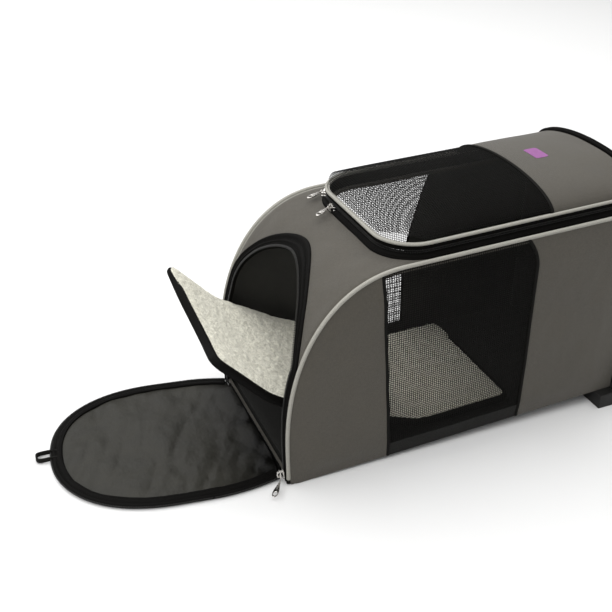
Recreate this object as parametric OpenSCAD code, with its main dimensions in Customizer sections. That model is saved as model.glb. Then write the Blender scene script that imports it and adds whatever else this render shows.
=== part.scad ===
// Soft-sided pet carrier bag lying on its back panel, door end at low X.
// X runs along the bag, Y across it, Z up from the floor; millimetres.
// Bag pieces are drawn square to the bag and turned by lean(), because
// the wheel housings lift the base end a little.

/* [Bag body] */
// Length from the door end to the base end
bag_length = 416; // [320:1:560]
// Width over the two side panels
bag_width = 207; // [160:1:320]
// Height of the side seams above the back panel
side_height = 232.5; // [180:0.5:300]
// Length of the rounded shoulder at the door end
shoulder_length = 130; // [60:1:180]
// Height where the shoulder starts
shoulder_start = 41; // [20:1:90]
// Roundness power of the shoulder
shoulder_power = 2.27; // [1.8:0.01:3]
// Thickness of the padded fabric
wall = 3; // [2:0.5:5]
// Thickness of the padded back panel
back_thickness = 4; // [3:0.5:8]
// Thickness of the stiffening boards
board_thickness = 3.5; // [2:0.5:6]
// Height of the piping bead over a seam
piping_size = 3; // [2:0.5:5]

/* [Side windows] */
// Front edge of the window at the bottom
window_front = 116; // [60:1:160]
// Rear edge of the window at the bottom
window_rear = 282.5; // [200:1:380]
// How far the window edges lean forward at the top
window_lean = 13; // [0:1:40]
// Height of the solid strip under the window
sill_height = 18; // [8:1:40]
// Width of the bound edge of the window
window_binding = 5; // [3:0.5:10]

/* [Door] */
// Distance from the side of the bag to the arched door hole
door_side = 15.5; // [13:0.5:60]
// Height of the top of the door hole
door_top = 206; // [120:1:260]
// Height where the arch of the door starts
door_arch = 118; // [60:1:180]
// Height of the sill under the door hole
door_sill_height = 8; // [4:0.5:20]
// Width of the zipper tape around the door hole
door_tape = 11; // [6:0.5:16]
// Stand-off of the zipper tapes
tape_thickness = 2.5; // [1.5:0.5:4]
// How far the door flap laps over the door hole at each side
door_lap = 16; // [12:0.5:30]
// Length of the door flap from its hinge
door_length = 220; // [140:1:280]
// Distance from the hinge to the crease of the door flap
door_crease = 125; // [60:1:180]
// Turn of the door flap where it lies on the floor
door_skew = 7.8; // [0:0.1:20]
// Thickness of the door fabric
door_thickness = 3; // [2:0.5:5]
// Thickness of the bound rim of the door
door_rim_thickness = 5.3; // [3:0.1:8]
// Width of the bound rim of the door
door_rim = 11; // [6:0.5:18]
// Width of the webbing of the pull loop
loop_width = 4; // [3:0.5:8]

/* [Top flap] */
// Front edge of the top flap
lid_front = 118; // [60:1:200]
// Distance from the side of the bag to the top flap
lid_side = 11.5; // [6:0.5:50]
// Corner radius of the top flap
lid_corner = 42; // [15:1:60]
// Rise of the dome of the top flap
lid_rise = 27; // [10:1:50]
// Length over which the dome rises from the front edge
lid_ramp = 90; // [40:1:140]
// Height of the zipper wall under the flap
lid_wall = 13.5; // [10:0.5:24]
// Width of the zipper wall
lid_wall_width = 8; // [4:0.5:12]
// Where the mesh ends and the fabric starts
lid_split = 303; // [200:1:360]
// Distance of the flap's fold line from the base end
lid_root = 16; // [10:1:40]
// Width of the binding between mesh and fabric
lid_binding = 5; // [3:0.5:10]

/* [Pad] */
// Clearance between the pad and each side of the door hole
pad_clearance = 2; // [1:0.5:20]
// Thickness of the pad
pad_thickness = 10; // [6:0.5:20]
// Width of the bound edge of the pad
pad_binding = 7; // [4:0.5:12]
// Rear edge of the pad
pad_rear = 285; // [240:1:400]
// Length of the flat part of the pad
pad_flat = 120; // [60:1:200]
// Length of the first rising part
pad_rise_1 = 114.5; // [60:0.5:160]
// Length of the second rising part
pad_rise_2 = 83.5; // [50:0.5:140]
// Length of the lifted end
pad_rise_3 = 78; // [50:0.5:140]
// Slope of the first rising part
pad_slope_1 = 23.5; // [5:0.5:35]
// Slope of the second rising part
pad_slope_2 = 33; // [10:0.5:45]
// Slope of the lifted end
pad_slope_3 = 48; // [15:0.5:60]

/* [Wheels] */
// Radius of a wheel
wheel_radius = 20; // [14:0.5:30]
// Width of a wheel
wheel_width = 16; // [10:0.5:24]
// Radius of the axle
axle_radius = 3; // [2:0.1:5]
// Running clearance of the wheel on its axle
axle_clearance = 0.05; // [0.01:0.01:0.1]
// Gap between a wheel and its housing
wheel_gap = 1.5; // [1:0.1:4]
// Lift of the bag at the front face of the housings
housing_lift = 18; // [8:0.5:30]
// Length of the housing under the bag
housing_under = 23; // [12:1:60]
// How far a housing stands out past the side panel
housing_out = 12; // [2:0.5:25]
// Thickness of the housing cheeks
housing_cheek = 6.5; // [4:0.5:12]
// Height of the housing behind the base end
housing_back = 30; // [20:1:50]
// Length of the housing past the base end
housing_past = 25; // [15:1:50]

/* [Zipper pulls] */
// Length of a slider body
slider_length = 11; // [8:0.5:16]
// Width of a slider body
slider_width = 6; // [4:0.5:9]
// Height of a slider body
slider_height = 5.5; // [4:0.5:8]
// Length of a pull
pull_length = 24; // [14:0.5:36]
// Widest part of a pull
pull_width = 8; // [5:0.5:12]
// Thickness of a pull
pull_thickness = 1.4; // [0.8:0.1:2.5]

/* [Clearances] */
// Gap between soft pieces on different bodies
gap = 0.4; // [0.3:0.05:1]

/* [Hidden] */
$fn = 64;
steps = 16;
half_w = bag_width / 2;
in_w = half_w - wall;
door_half = half_w - door_side;
flap_door_half = door_half + door_lap;
lid_half = half_w - lid_side;
pad_half = door_half - pad_clearance;
housing_x = bag_length - housing_under;
lean_angle = atan(housing_lift / housing_x);
lid_base = side_height + lid_wall;
lid_rear = bag_length - lid_root;
wheel_x = bag_length + housing_past - 5;
wheel_z = (wheel_radius + 0.3) / cos(lean_angle) - wheel_x * tan(lean_angle);
pad_z = back_thickness + board_thickness + gap + pad_thickness / 2;
hinge_x = -(tape_thickness + 2.1);
hinge_lead = 1.4;
loop_reach = 15;
loop_half = 12;
pull_end_gap = 0.55;
pull_door_turn = 52;
pull_door_y = door_half + door_tape + 0.9;
// The origin is under the middle of the whole part as it lies.
near_y = pull_door_y + (pull_length - pull_width / 2) * sin(pull_door_turn)
    + pull_width / 2;
far_y = max([for (u = tip_us(1.8, 44))
    u * sin(door_skew) + door_hw(u) * cos(door_skew)]);
low_x = hinge_x - (door_length + loop_reach) * cos(door_skew)
    - loop_half * sin(door_skew);
high_x = wheel_x * cos(lean_angle) - wheel_z * sin(lean_angle) + wheel_radius;
origin_x = (low_x + high_x) / 2;
origin_y = (far_y - near_y) / 2;
big = 2000;

// ---- outlines -------------------------------------------------------
// Shoulder curve, set in from the outer face by o.
function shoulder(o) = [for (i = [0:steps]) let (t = 90 * i / steps)
    [shoulder_length - (shoulder_length - o) * pow(cos(t), 2 / shoulder_power),
     shoulder_start + (side_height - shoulder_start - o)
         * pow(sin(t), 2 / shoulder_power)]];

// Side view of the bag between heights lo and the seam.
function side_outline(o, lo, end) = concat([[end, lo], [o, lo]], shoulder(o),
    [[end, side_height - o]]);

// A layer that follows the door end and the top, from o_in out to o_out.
function layer(o_out, o_in, lo) = concat([[o_out, lo]], shoulder(o_out),
    [[bag_length, side_height - o_out], [bag_length, side_height - o_in]],
    [for (i = [steps:-1:0]) shoulder(o_in)[i]], [[o_in, lo]]);

// Arch of the door seen along X.
function arch(h, top, lo) = concat([[h, lo]],
    [for (i = [0:2 * steps]) let (t = 90 * i / steps)
        [h * (cos(t) >= 0 ? 1 : -1) * pow(abs(cos(t)), 2 / 2.2),
         door_arch + (top - door_arch) * pow(abs(sin(t)), 2 / 2.2)]],
    [[-h, lo]]);

// Cross-section of the domed flap.
function dome(h, rise, lo) = concat([[h, lo]],
    [for (i = [0:2 * steps]) let (t = 90 * i / steps)
        [h * cos(t), lid_base + rise * sin(t)]],
    [[-h, lo]]);

// Side view of the domed flap.
function ramp(o, lo) = concat([[lid_rear, lo], [lid_front + o, lo]],
    [for (i = [0:steps]) let (t = 90 * i / steps)
        [lid_front + lid_ramp - (lid_ramp - o) * cos(t),
         lid_base + (lid_rise - o) * sin(t)]],
    [[lid_rear, lid_base + lid_rise - o]]);

module lean() {
    translate([-origin_x, -origin_y, 0]) rotate([0, -lean_angle, 0]) children();
}
module along_y(lo, hi) {
    translate([0, hi, 0]) rotate([90, 0, 0]) linear_extrude(hi - lo) children();
}
module along_x(lo, hi) {
    translate([lo, 0, 0]) rotate([90, 0, 90]) linear_extrude(hi - lo) children();
}
module along_z(lo, hi) { translate([0, 0, lo]) linear_extrude(hi - lo) children(); }
module both(side) { mirror([0, side, 0]) children(); }

// ---- body -----------------------------------------------------------
module body_band() {
    color([0.32, 0.31, 0.28]) lean() difference() {
        along_y(-in_w, in_w) polygon(layer(0, wall, 0));
        along_x(-1, shoulder_length)
            polygon(arch(door_half, door_top, door_sill_height));
        along_z(side_height - 2 * wall, side_height + 1)
            lid_plan(lid_wall_width, bag_length + 1);
    }
}

// Region of the side panel in front of, across or behind the window.
module window_band(a, b) {
    polygon([[a, 0], [b, 0], [b - window_lean, side_height],
        [a - window_lean, side_height]]);
}
module side_cut(part) {
    along_y(in_w, half_w) intersection() {
        polygon(side_outline(0, 0, bag_length));
        if (part == 0) window_band(-big, window_front);
        if (part == 1) difference() {
            window_band(window_front, window_rear);
            translate([-big, -1]) square([2 * big, sill_height + 1]);
        }
        if (part == 2) window_band(window_rear, big);
        if (part == 3) intersection() {
            window_band(window_front, window_rear);
            translate([-big, 0]) square([2 * big, sill_height]);
        }
    }
}
module side_front_near() { color([0.32, 0.31, 0.28]) lean() both(1) side_cut(0); }
module side_rear_near() { color([0.32, 0.31, 0.28]) lean() both(1) side_cut(2); }
module side_front_far() { color([0.32, 0.31, 0.28]) lean() both(0) side_cut(0); }
module side_rear_far() { color([0.32, 0.31, 0.28]) lean() both(0) side_cut(2); }
module window_near() { color([0.08, 0.08, 0.08]) lean() both(1) side_cut(1); }
module window_far() { color([0.08, 0.08, 0.08]) lean() both(0) side_cut(1); }
module window_sill_near() { color([0.05, 0.05, 0.05]) lean() both(1) side_cut(3); }
module window_sill_far() { color([0.05, 0.05, 0.05]) lean() both(0) side_cut(3); }

module window_bindings() {
    along_y(half_w, half_w + 1.2) intersection() {
        polygon(side_outline(2, 2, bag_length - 2));
        union() {
            window_band(window_front - window_binding / 2,
                window_front + window_binding / 2);
            window_band(window_rear - window_binding / 2,
                window_rear + window_binding / 2);
        }
    }
}
module window_binding_near() {
    color([0.05, 0.05, 0.05]) lean() both(1) window_bindings();
}
module window_binding_far() {
    color([0.05, 0.05, 0.05]) lean() both(0) window_bindings();
}

module piping() {
    along_y(half_w - piping_size - 0.5, half_w + 0.5)
        polygon(layer(-piping_size, 0, 1));
}
module piping_near() { color([0.6, 0.6, 0.57]) lean() both(1) piping(); }
module piping_far() { color([0.6, 0.6, 0.57]) lean() both(0) piping(); }

module back_panel() {
    color([0.12, 0.12, 0.12]) lean() translate([wall, -in_w, 0])
        cube([bag_length - 2 * wall, 2 * in_w, back_thickness]);
}
module floor_board() {
    color([0.1, 0.1, 0.1]) lean() translate([wall + 5, 5 - in_w, back_thickness])
        cube([bag_length - 2 * wall - board_thickness - 6, 2 * in_w - 10,
            board_thickness]);
}

// Base end outline: the sides, the zipper step and the dome.
function base_points(o) = concat([[half_w + o, 0], [half_w + o, side_height]],
    [for (i = [0:2 * steps]) let (t = 90 * i / steps)
        [(lid_half + o) * cos(t), lid_base + (lid_rise + o) * sin(t)]],
    [[-half_w - o, side_height], [-half_w - o, 0]]);
module base_panel() {
    color([0.3, 0.29, 0.26]) lean() difference() {
        along_x(bag_length - wall, bag_length) intersection() {
            polygon(base_points(-0.5));
            polygon(concat([[in_w, 0], [in_w, side_height - wall],
                [lid_half - lid_wall_width, side_height - wall],
                [lid_half - lid_wall_width, lid_base]],
                [for (i = [0:2 * steps]) let (t = 90 * i / steps)
                    [(lid_half - wall) * cos(t),
                     lid_base + (lid_rise - wall) * sin(t)]],
                [[lid_wall_width - lid_half, lid_base],
                 [lid_wall_width - lid_half, side_height - wall],
                 [-in_w, side_height - wall], [-in_w, 0]]));
        }
    }
}
module base_board() {
    color([0.1, 0.1, 0.1]) lean()
        translate([bag_length - wall - board_thickness, 5 - in_w, back_thickness])
            cube([board_thickness, 2 * in_w - 10,
                side_height - wall - back_thickness - 6]);
}
module base_rim() {
    color([0.04, 0.04, 0.04]) lean() difference() {
        along_x(bag_length, bag_length + 7) polygon(base_points(3));
        along_x(bag_length - 1, bag_length + 8) polygon(base_points(-6));
        translate([bag_length - 1, -big / 2, -big / 2])
            cube([10, big, big / 2 + housing_back + 2]);
    }
}

// ---- door opening ---------------------------------------------------
module door_zip() {
    color([0.04, 0.04, 0.04]) lean() intersection() {
        along_y(-in_w, in_w) polygon(layer(-tape_thickness, 0, 0.5));
        difference() {
            along_x(-20, shoulder_length) polygon(arch(door_half + door_tape,
                door_top + door_tape, 0.5));
            along_x(-21, shoulder_length + 1)
                polygon(arch(door_half, door_top, 0));
        }
    }
}
module door_sill_tape() {
    // The lip along the bottom is where the flap is sewn on.
    lip_x = hinge_x - hinge_lead + gap;
    color([0.04, 0.04, 0.04]) lean() union() {
        translate([-tape_thickness, 1 - door_half, 0.5])
            cube([tape_thickness, 2 * door_half - 2, door_sill_height - 0.5]);
        translate([lip_x, 10 - door_half, 0.5])
            cube([-lip_x, 2 * door_half - 20, 2]);
    }
}

// ---- top flap -------------------------------------------------------
// Plan of the flap, set in by o, with two rounded front corners.
module lid_plan(o, end) {
    r = max(lid_corner - o, 1);
    union() {
        translate([lid_front + o + r, o - lid_half])
            square([end - lid_front - o - r, 2 * (lid_half - o)]);
        translate([lid_front + o, o + r - lid_half])
            square([r + 1, 2 * (lid_half - o - r)]);
        translate([lid_front + o + r, lid_half - o - r]) circle(r);
        translate([lid_front + o + r, o + r - lid_half]) circle(r);
    }
}
module lid_ring(out, inn, lo, hi, end) {
    along_z(lo, hi) difference() {
        lid_plan(out, end);
        lid_plan(inn, end + 5);
    }
}
module lid_zip_lower() {
    color([0.04, 0.04, 0.04]) lean() lid_ring(0, lid_wall_width, side_height,
        side_height + lid_wall / 2, bag_length - wall);
}
module lid_zip_upper() {
    color([0.04, 0.04, 0.04]) lean() lid_ring(0, lid_wall_width,
        side_height + lid_wall / 2 + gap, lid_base - 1, lid_rear);
}
module lid_piping() {
    color([0.6, 0.6, 0.57]) lean()
        lid_ring(-2, lid_wall_width - 2, lid_base - 1, lid_base, lid_rear);
    color([0.6, 0.6, 0.57]) lean()
        lid_ring(-2, 0, lid_base, lid_base + 2.5, lid_rear);
}
module lid_shell() {
    lean() difference() {
        intersection() {
            along_x(lid_front, lid_rear) polygon(dome(lid_half, lid_rise, lid_base));
            along_y(-lid_half, lid_half) polygon(ramp(0, lid_base));
            along_z(lid_base, lid_base + 2 * lid_rise) lid_plan(0, lid_rear);
        }
        intersection() {
            along_x(lid_front, lid_rear + 1)
                polygon(dome(lid_half - wall, lid_rise - wall, lid_base - 1));
            along_y(-lid_half, lid_half)
                translate([0.01, 0]) polygon(ramp(wall, lid_base - 1));
            along_z(lid_base - 1, lid_base + 2 * lid_rise)
                lid_plan(wall, lid_rear + 1);
        }
        // The two inner cuts stop at the fold line, so this opens the end.
        along_x(lid_rear - 1, lid_rear + 1)
            polygon(dome(lid_half - wall, lid_rise - wall, lid_base - 1));
    }
}
module lid_slice(a, b) {
    intersection() {
        lid_shell();
        lean() translate([a, -big / 2, side_height]) cube([b - a, big, big / 4]);
    }
}
module lid_mesh() {
    color([0.07, 0.07, 0.07]) lid_slice(0, lid_split - lid_binding / 2);
}
module lid_divider() {
    color([0.04, 0.04, 0.04])
        lid_slice(lid_split - lid_binding / 2, lid_split + lid_binding / 2);
}
module lid_fabric() {
    color([0.34, 0.33, 0.3]) lid_slice(lid_split + lid_binding / 2, big / 2);
}
module lid_root_fabric() {
    color([0.34, 0.33, 0.3]) lean() difference() {
        along_x(lid_rear + gap, bag_length) polygon(dome(lid_half, lid_rise,
            side_height + lid_wall / 2));
        along_x(lid_rear, bag_length + 1) polygon(dome(lid_half - wall,
            lid_rise - wall, side_height));
    }
}
// Plain rectangular patch on the fabric of the flap.
module lid_mark() {
    top = lid_base + lid_rise;
    color([0.5, 0.28, 0.5]) lean() intersection() {
        along_x(lid_front, lid_rear) difference() {
            polygon(dome(lid_half + 0.6, lid_rise + 0.6, lid_base));
            polygon(dome(lid_half, lid_rise, lid_base - 1));
        }
        along_z(lid_base, top + 5) translate([344, 0]) square([16.5, 26], center = true);
    }
}

// ---- wheels ---------------------------------------------------------
function floor_z(x) = -x * tan(lean_angle);
module housing() {
    far = bag_length + housing_past;
    lo = half_w + housing_out - 2 * housing_cheek - wheel_width - 2 * wheel_gap;
    hi = half_w + housing_out;
    difference() {
        along_y(lo, hi) polygon([[housing_x, floor_z(housing_x)], [housing_x, 0],
            [bag_length, 0], [bag_length, housing_back],
            [far - 12, housing_back], [far, housing_back - 14],
            [far, floor_z(far)]]);
        translate([wheel_x, lo + housing_cheek, wheel_z]) rotate([-90, 0, 0])
            cylinder(r = wheel_radius + wheel_gap,
                h = wheel_width + 2 * wheel_gap);
    }
}
module axle() {
    lo = half_w + housing_out - housing_cheek - wheel_width - 2 * wheel_gap;
    translate([wheel_x, lo, wheel_z]) rotate([-90, 0, 0])
        cylinder(r = axle_radius, h = wheel_width + 2 * wheel_gap);
}
module roller(r_out, r_in, w) {
    mid = half_w + housing_out - housing_cheek - wheel_width / 2 - wheel_gap;
    translate([wheel_x, mid - w / 2, wheel_z]) rotate([-90, 0, 0])
        difference() {
            cylinder(r = r_out, h = w);
            translate([0, 0, -1]) cylinder(r = r_in, h = w + 2);
        }
}
module housing_near() { color([0.05, 0.05, 0.05]) lean() both(1) housing(); }
module housing_far() { color([0.05, 0.05, 0.05]) lean() both(0) housing(); }
module axle_near() { color([0.6, 0.6, 0.6]) lean() both(1) axle(); }
module axle_far() { color([0.6, 0.6, 0.6]) lean() both(0) axle(); }
module tyre_near() {
    color([0.06, 0.06, 0.06]) lean() both(1)
        roller(wheel_radius, 0.7 * wheel_radius, wheel_width);
}
module tyre_far() {
    color([0.06, 0.06, 0.06]) lean() both(0)
        roller(wheel_radius, 0.7 * wheel_radius, wheel_width);
}
module hub_near() {
    color([0.25, 0.25, 0.25]) lean() both(1) roller(0.7 * wheel_radius - 0.02,
        axle_radius + axle_clearance, wheel_width - 1);
}
module hub_far() {
    color([0.25, 0.25, 0.25]) lean() both(0) roller(0.7 * wheel_radius - 0.02,
        axle_radius + axle_clearance, wheel_width - 1);
}

// ---- door flap, open on the floor ------------------------------------
// Half width of the flap at distance u from the hinge.
function door_hw(u) = let (h = flap_door_half,
    c = 0.23 * min(1, pow(max(0, 62 - u) / 60, 1.7)),
    q = max(0, (u - 95) / (door_length - 95)))
    h * (1 - c) * pow(max(0, 1 - pow(q, 2.25)), 1 / 2.25);
function door_us(a, b, n) = [for (i = [0:n]) a + (b - a) * i / n];
// Points are spaced closely near the tip, where the outline turns.
function tip_us(a, n) = [for (i = [0:n]) a + (door_length - a) * sin(90 * i / n)];
function door_strip(us, o) = concat(
    [for (u = us) [-u, max(0.01, door_hw(u) - o)]],
    [for (i = [len(us) - 1:-1:0]) [-us[i], -max(0.01, door_hw(us[i]) - o)]]);
module door_place() {
    translate([hinge_x - origin_x, -origin_y, 0]) rotate([0, 0, -door_skew])
        children();
}
// The turned flap is cut back so that it stays in front of the sill.
module door_clear() {
    intersection() {
        children();
        translate([hinge_x - hinge_lead - big - origin_x, -big / 2, -1])
            cube([big, big, 50]);
    }
}
module door_outline(o, a, b) {
    intersection() {
        polygon(door_strip(tip_us(1.8, 44), o));
        translate([-b, -big / 2]) square([b - a, big]);
    }
}
// The inner outline is the outer one scaled in from the rim.
module door_inner(a, b) {
    k = (flap_door_half - door_rim) / flap_door_half;
    intersection() {
        translate([-0.2 * door_rim, 0]) scale([(door_length - 1.2 * door_rim)
            / door_length, k]) polygon(door_strip(tip_us(1.8, 44), 0));
        translate([-b, -big / 2]) square([b - a, big]);
    }
}
module door_lower() {
    color([0.16, 0.16, 0.16]) door_clear() door_place()
        along_z(0, door_thickness) door_inner(1.8, door_crease - gap / 2);
}
module door_upper() {
    color([0.16, 0.16, 0.16]) door_place()
        along_z(0, door_thickness) door_inner(door_crease + gap / 2, big);
}
module door_rim_part(a, b) {
    door_place() along_z(0, door_rim_thickness) difference() {
        door_outline(0, a, b);
        door_inner(a - 1, b + 1);
    }
}
module door_rim_lower() {
    color([0.04, 0.04, 0.04]) door_clear()
        door_rim_part(1.8, door_crease - gap / 2);
}
module door_rim_upper() {
    color([0.04, 0.04, 0.04]) door_rim_part(door_crease + gap / 2, big);
}
module door_loop() {
    color([0.04, 0.04, 0.04]) door_place() translate([-door_length, 0, 0])
        along_z(0, 2.4) difference() {
            translate([-loop_reach, -loop_half]) square([loop_reach, 2 * loop_half]);
            translate([loop_width - loop_reach, loop_width - loop_half])
                square([loop_reach - loop_width - 1, 2 * (loop_half - loop_width)]);
        }
}

// ---- sliders and pulls ------------------------------------------------
module slider_body() {
    translate([-slider_width, -slider_length / 2, 0])
        cube([slider_width, slider_length, slider_height]);
    translate([-slider_width + 1, -2, slider_height])
        cube([slider_width - 2, 4, 1.4]);
}
// A drop-shaped pull that lies away from the slider along -X.
module pull_body() {
    r = pull_width / 2;
    linear_extrude(pull_thickness) difference() {
        union() {
            translate([r - pull_length, 0]) circle(r);
            polygon([[0, 1.8], [r - pull_length, r], [r - pull_length, -r],
                [0, -1.8]]);
        }
        translate([r - pull_length, 0]) circle(r / 2);
    }
}
module at_front() {
    lean() translate([lid_front - 0.5, 40, side_height + 0.6]) children();
}
module at_corner() {
    lean() translate([lid_front + lid_corner, lid_half - lid_corner,
        side_height + 0.6]) rotate([0, 0, -38])
            translate([-lid_corner - 0.5, 0, 0]) children();
}
module slider_front() { color([0.7, 0.7, 0.7]) at_front() slider_body(); }
module slider_corner() { color([0.7, 0.7, 0.7]) at_corner() slider_body(); }
module lid_pull() {
    translate([-slider_width - pull_end_gap, 0, piping_size + 0.4]) pull_body();
}
module pull_front() { color([0.75, 0.75, 0.75]) at_front() lid_pull(); }
module pull_corner() { color([0.75, 0.75, 0.75]) at_corner() lid_pull(); }
module slider_door() {
    color([0.7, 0.7, 0.7]) lean() translate([-tape_thickness - gap - 5.5,
        -door_half - door_tape - 0.5, 7]) cube([5.5, 8, slider_length]);
}
module pull_door() {
    color([0.75, 0.75, 0.75]) lean() translate([-tape_thickness - gap - 5.85,
        -pull_door_y, door_rim_thickness + 0.4]) rotate([0, 0, pull_door_turn])
            pull_body();
}

// ---- pad --------------------------------------------------------------
// Places the parts end to end: each starts where the last one stops.
function pad_len(i) = [pad_flat, pad_rise_1, pad_rise_2, pad_rise_3][i];
function pad_slope(i) = [0, pad_slope_1, pad_slope_2, pad_slope_3][i];
function pad_x(i) = i == 0 ? pad_rear
    : pad_x(i - 1) - pad_len(i - 1) * cos(pad_slope(i - 1));
function pad_h(i) = i == 0 ? pad_z
    : pad_h(i - 1) + pad_len(i - 1) * sin(pad_slope(i - 1));
// Each part stops short of the crease by what the turn there needs.
function pad_trim(i) = i > 3 || i < 1 ? 0
    : gap / 2 + pad_thickness / 2 * tan((pad_slope(i) - pad_slope(i - 1)) / 2);
module pad_part(i, y0, y1, thick) {
    lean() translate([pad_x(i), 0, pad_h(i)]) rotate([0, pad_slope(i), 0])
        translate([pad_trim(i + 1) - pad_len(i), y0, -thick / 2])
            cube([pad_len(i) - pad_trim(i) - pad_trim(i + 1), y1 - y0, thick]);
}
module pad_core(i) {
    w = pad_half - pad_binding;
    color([0.84, 0.85, 0.8]) intersection() {
        pad_part(i, -w, w, pad_thickness);
        lean() translate([pad_x(i), 0, pad_h(i)]) rotate([0, pad_slope(i), 0])
            translate([i == 3 ? pad_binding - pad_len(i) : -big, -big / 2,
                -big / 2]) cube([i == 0 ? big - pad_binding : big
                    + (i == 3 ? pad_len(i) : 0), big, big]);
    }
}
module pad_edge(i) {
    w = pad_half - pad_binding;
    color([0.05, 0.05, 0.05]) difference() {
        pad_part(i, -pad_half, pad_half, pad_thickness - 2);
        lean() translate([pad_x(i), 0, pad_h(i)]) rotate([0, pad_slope(i), 0])
            translate([i == 3 ? pad_binding - pad_len(i) : -big, -w, -big / 2])
                cube([i == 0 ? big - pad_binding : big
                    + (i == 3 ? pad_len(i) : 0), 2 * w, big]);
    }
}
module pad_0() { pad_core(0); }
module pad_1() { pad_core(1); }
module pad_2() { pad_core(2); }
module pad_3() { pad_core(3); }
module pad_binding_0() { pad_edge(0); }
module pad_binding_1() { pad_edge(1); }
module pad_binding_2() { pad_edge(2); }
module pad_binding_3() { pad_edge(3); }

body_band();
side_front_near();
side_rear_near();
side_front_far();
side_rear_far();
window_near();
window_far();
window_sill_near();
window_sill_far();
window_binding_near();
window_binding_far();
piping_near();
piping_far();
back_panel();
floor_board();
base_panel();
base_board();
base_rim();
door_zip();
door_sill_tape();
lid_zip_lower();
lid_root_fabric();
housing_near();
housing_far();
axle_near();
axle_far();
tyre_near();
tyre_far();
hub_near();
hub_far();
lid_mesh();
lid_fabric();
lid_divider();
lid_piping();
lid_zip_upper();
lid_mark();
door_lower();
door_rim_lower();
door_upper();
door_rim_upper();
door_loop();
slider_corner();
pull_corner();
slider_front();
pull_front();
slider_door();
pull_door();
pad_0();
pad_1();
pad_2();
pad_3();
pad_binding_0();
pad_binding_1();
pad_binding_2();
pad_binding_3();
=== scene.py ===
import math

import bmesh
import bpy
import numpy as np
from mathutils import Matrix, Vector, noise
from mathutils.geometry import delaunay_2d_cdt


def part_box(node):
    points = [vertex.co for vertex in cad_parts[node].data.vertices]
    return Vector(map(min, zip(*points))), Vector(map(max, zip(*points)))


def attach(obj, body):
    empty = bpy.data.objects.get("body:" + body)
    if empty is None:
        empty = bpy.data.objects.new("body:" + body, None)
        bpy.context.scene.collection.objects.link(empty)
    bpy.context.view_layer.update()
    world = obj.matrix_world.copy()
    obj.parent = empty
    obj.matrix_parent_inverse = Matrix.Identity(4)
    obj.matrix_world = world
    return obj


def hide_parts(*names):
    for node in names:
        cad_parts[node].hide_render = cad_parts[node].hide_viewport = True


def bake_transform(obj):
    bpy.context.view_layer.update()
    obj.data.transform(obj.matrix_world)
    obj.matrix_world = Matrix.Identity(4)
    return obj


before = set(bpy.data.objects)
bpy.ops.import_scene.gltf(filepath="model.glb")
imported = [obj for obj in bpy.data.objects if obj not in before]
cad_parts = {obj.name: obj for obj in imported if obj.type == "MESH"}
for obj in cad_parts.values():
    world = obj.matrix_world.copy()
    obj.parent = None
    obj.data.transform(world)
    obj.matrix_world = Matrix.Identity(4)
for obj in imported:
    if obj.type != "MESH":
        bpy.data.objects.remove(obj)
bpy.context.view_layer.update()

# ---- sizes of the bag in millimetres, in the bag's own frame ------------
# X runs from the door end to the base end, Y across, Z up from the back panel.
LENGTH, HALF, HEIGHT = 416.0, 103.5, 232.5
SHOULDER, SHOULDER_START, SHOULDER_POWER = 130.0, 41.0, 2.27
WALL = 3.0
DOOR_HALF, DOOR_TOP, DOOR_BEND, DOOR_SILL = 88.0, 208.0, 136.0, 8.0
DOOR_SPREAD, DOOR_PULLED = 2.5, 13.0
LID_FRONT, LID_HALF, LID_CORNER, LID_RISE, LID_RAMP = 118.0, 92.0, 42.0, 27.0, 90.0
LID_BASE, LID_REAR, LID_SPLIT = 246.0, 400.0, 303.0
FLAP_HALF, FLAP_LENGTH = 104.0, 220.0
HOUSING_X, HOUSING_LIFT = 393.0, 18.0
MESH_PITCH, MESH_STRAND = 2.5, 0.52
CAD_NAMES = set(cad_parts)
LEAN = math.atan(HOUSING_LIFT / HOUSING_X)
COS, SIN = math.cos(LEAN), math.sin(LEAN)
back_low, back_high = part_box("back_panel")
ORIGIN_X = WALL * COS - 4 * SIN - back_low.x * 1000
ORIGIN_Y = -500 * (back_low.y + back_high.y)


def bag(p):
    """Bag frame in millimetres to the shared frame in metres."""
    return ((p[0] * COS - p[2] * SIN - ORIGIN_X) / 1000,
            (p[1] - ORIGIN_Y) / 1000,
            (p[0] * SIN + p[2] * COS) / 1000)


def floor(p):
    """The same for what lies on the floor and isn't leaned with the bag."""
    return ((p[0] - ORIGIN_X) / 1000, (p[1] - ORIGIN_Y) / 1000, p[2] / 1000)


# ---- camera ---------------------------------------------------------------
camera = bpy.data.objects.new("camera", bpy.data.cameras.new("camera"))
bpy.context.scene.collection.objects.link(camera)
camera.data.sensor_width = 36
camera.data.lens = 52.587
camera.data.clip_end = 50
look = Vector((0.35119, 0.78198, -0.51495)).normalized()
rise = Vector((0.18261, 0.48222, 0.85681)).normalized()
side_way = look.cross(rise).normalized()
rise = side_way.cross(look)
camera.matrix_world = Matrix((
    (side_way.x, rise.x, -look.x, -0.38699),
    (side_way.y, rise.y, -look.y, -0.75166),
    (side_way.z, rise.z, -look.z, 0.64477),
    (0, 0, 0, 1)))
bpy.context.scene.camera = camera


# ---- small helpers ----------------------------------------------------------
def smooth(x, a, b):
    t = min(1.0, max(0.0, (x - a) / (b - a)))
    return t * t * (3 - 2 * t)


def rough_at(x, y, z, size, seed=0.0):
    """Smooth noise in -1..1 with features about size millimetres wide."""
    return noise.noise(Vector((x / size + seed, y / size + 3.1 * seed, z / size)))


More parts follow.
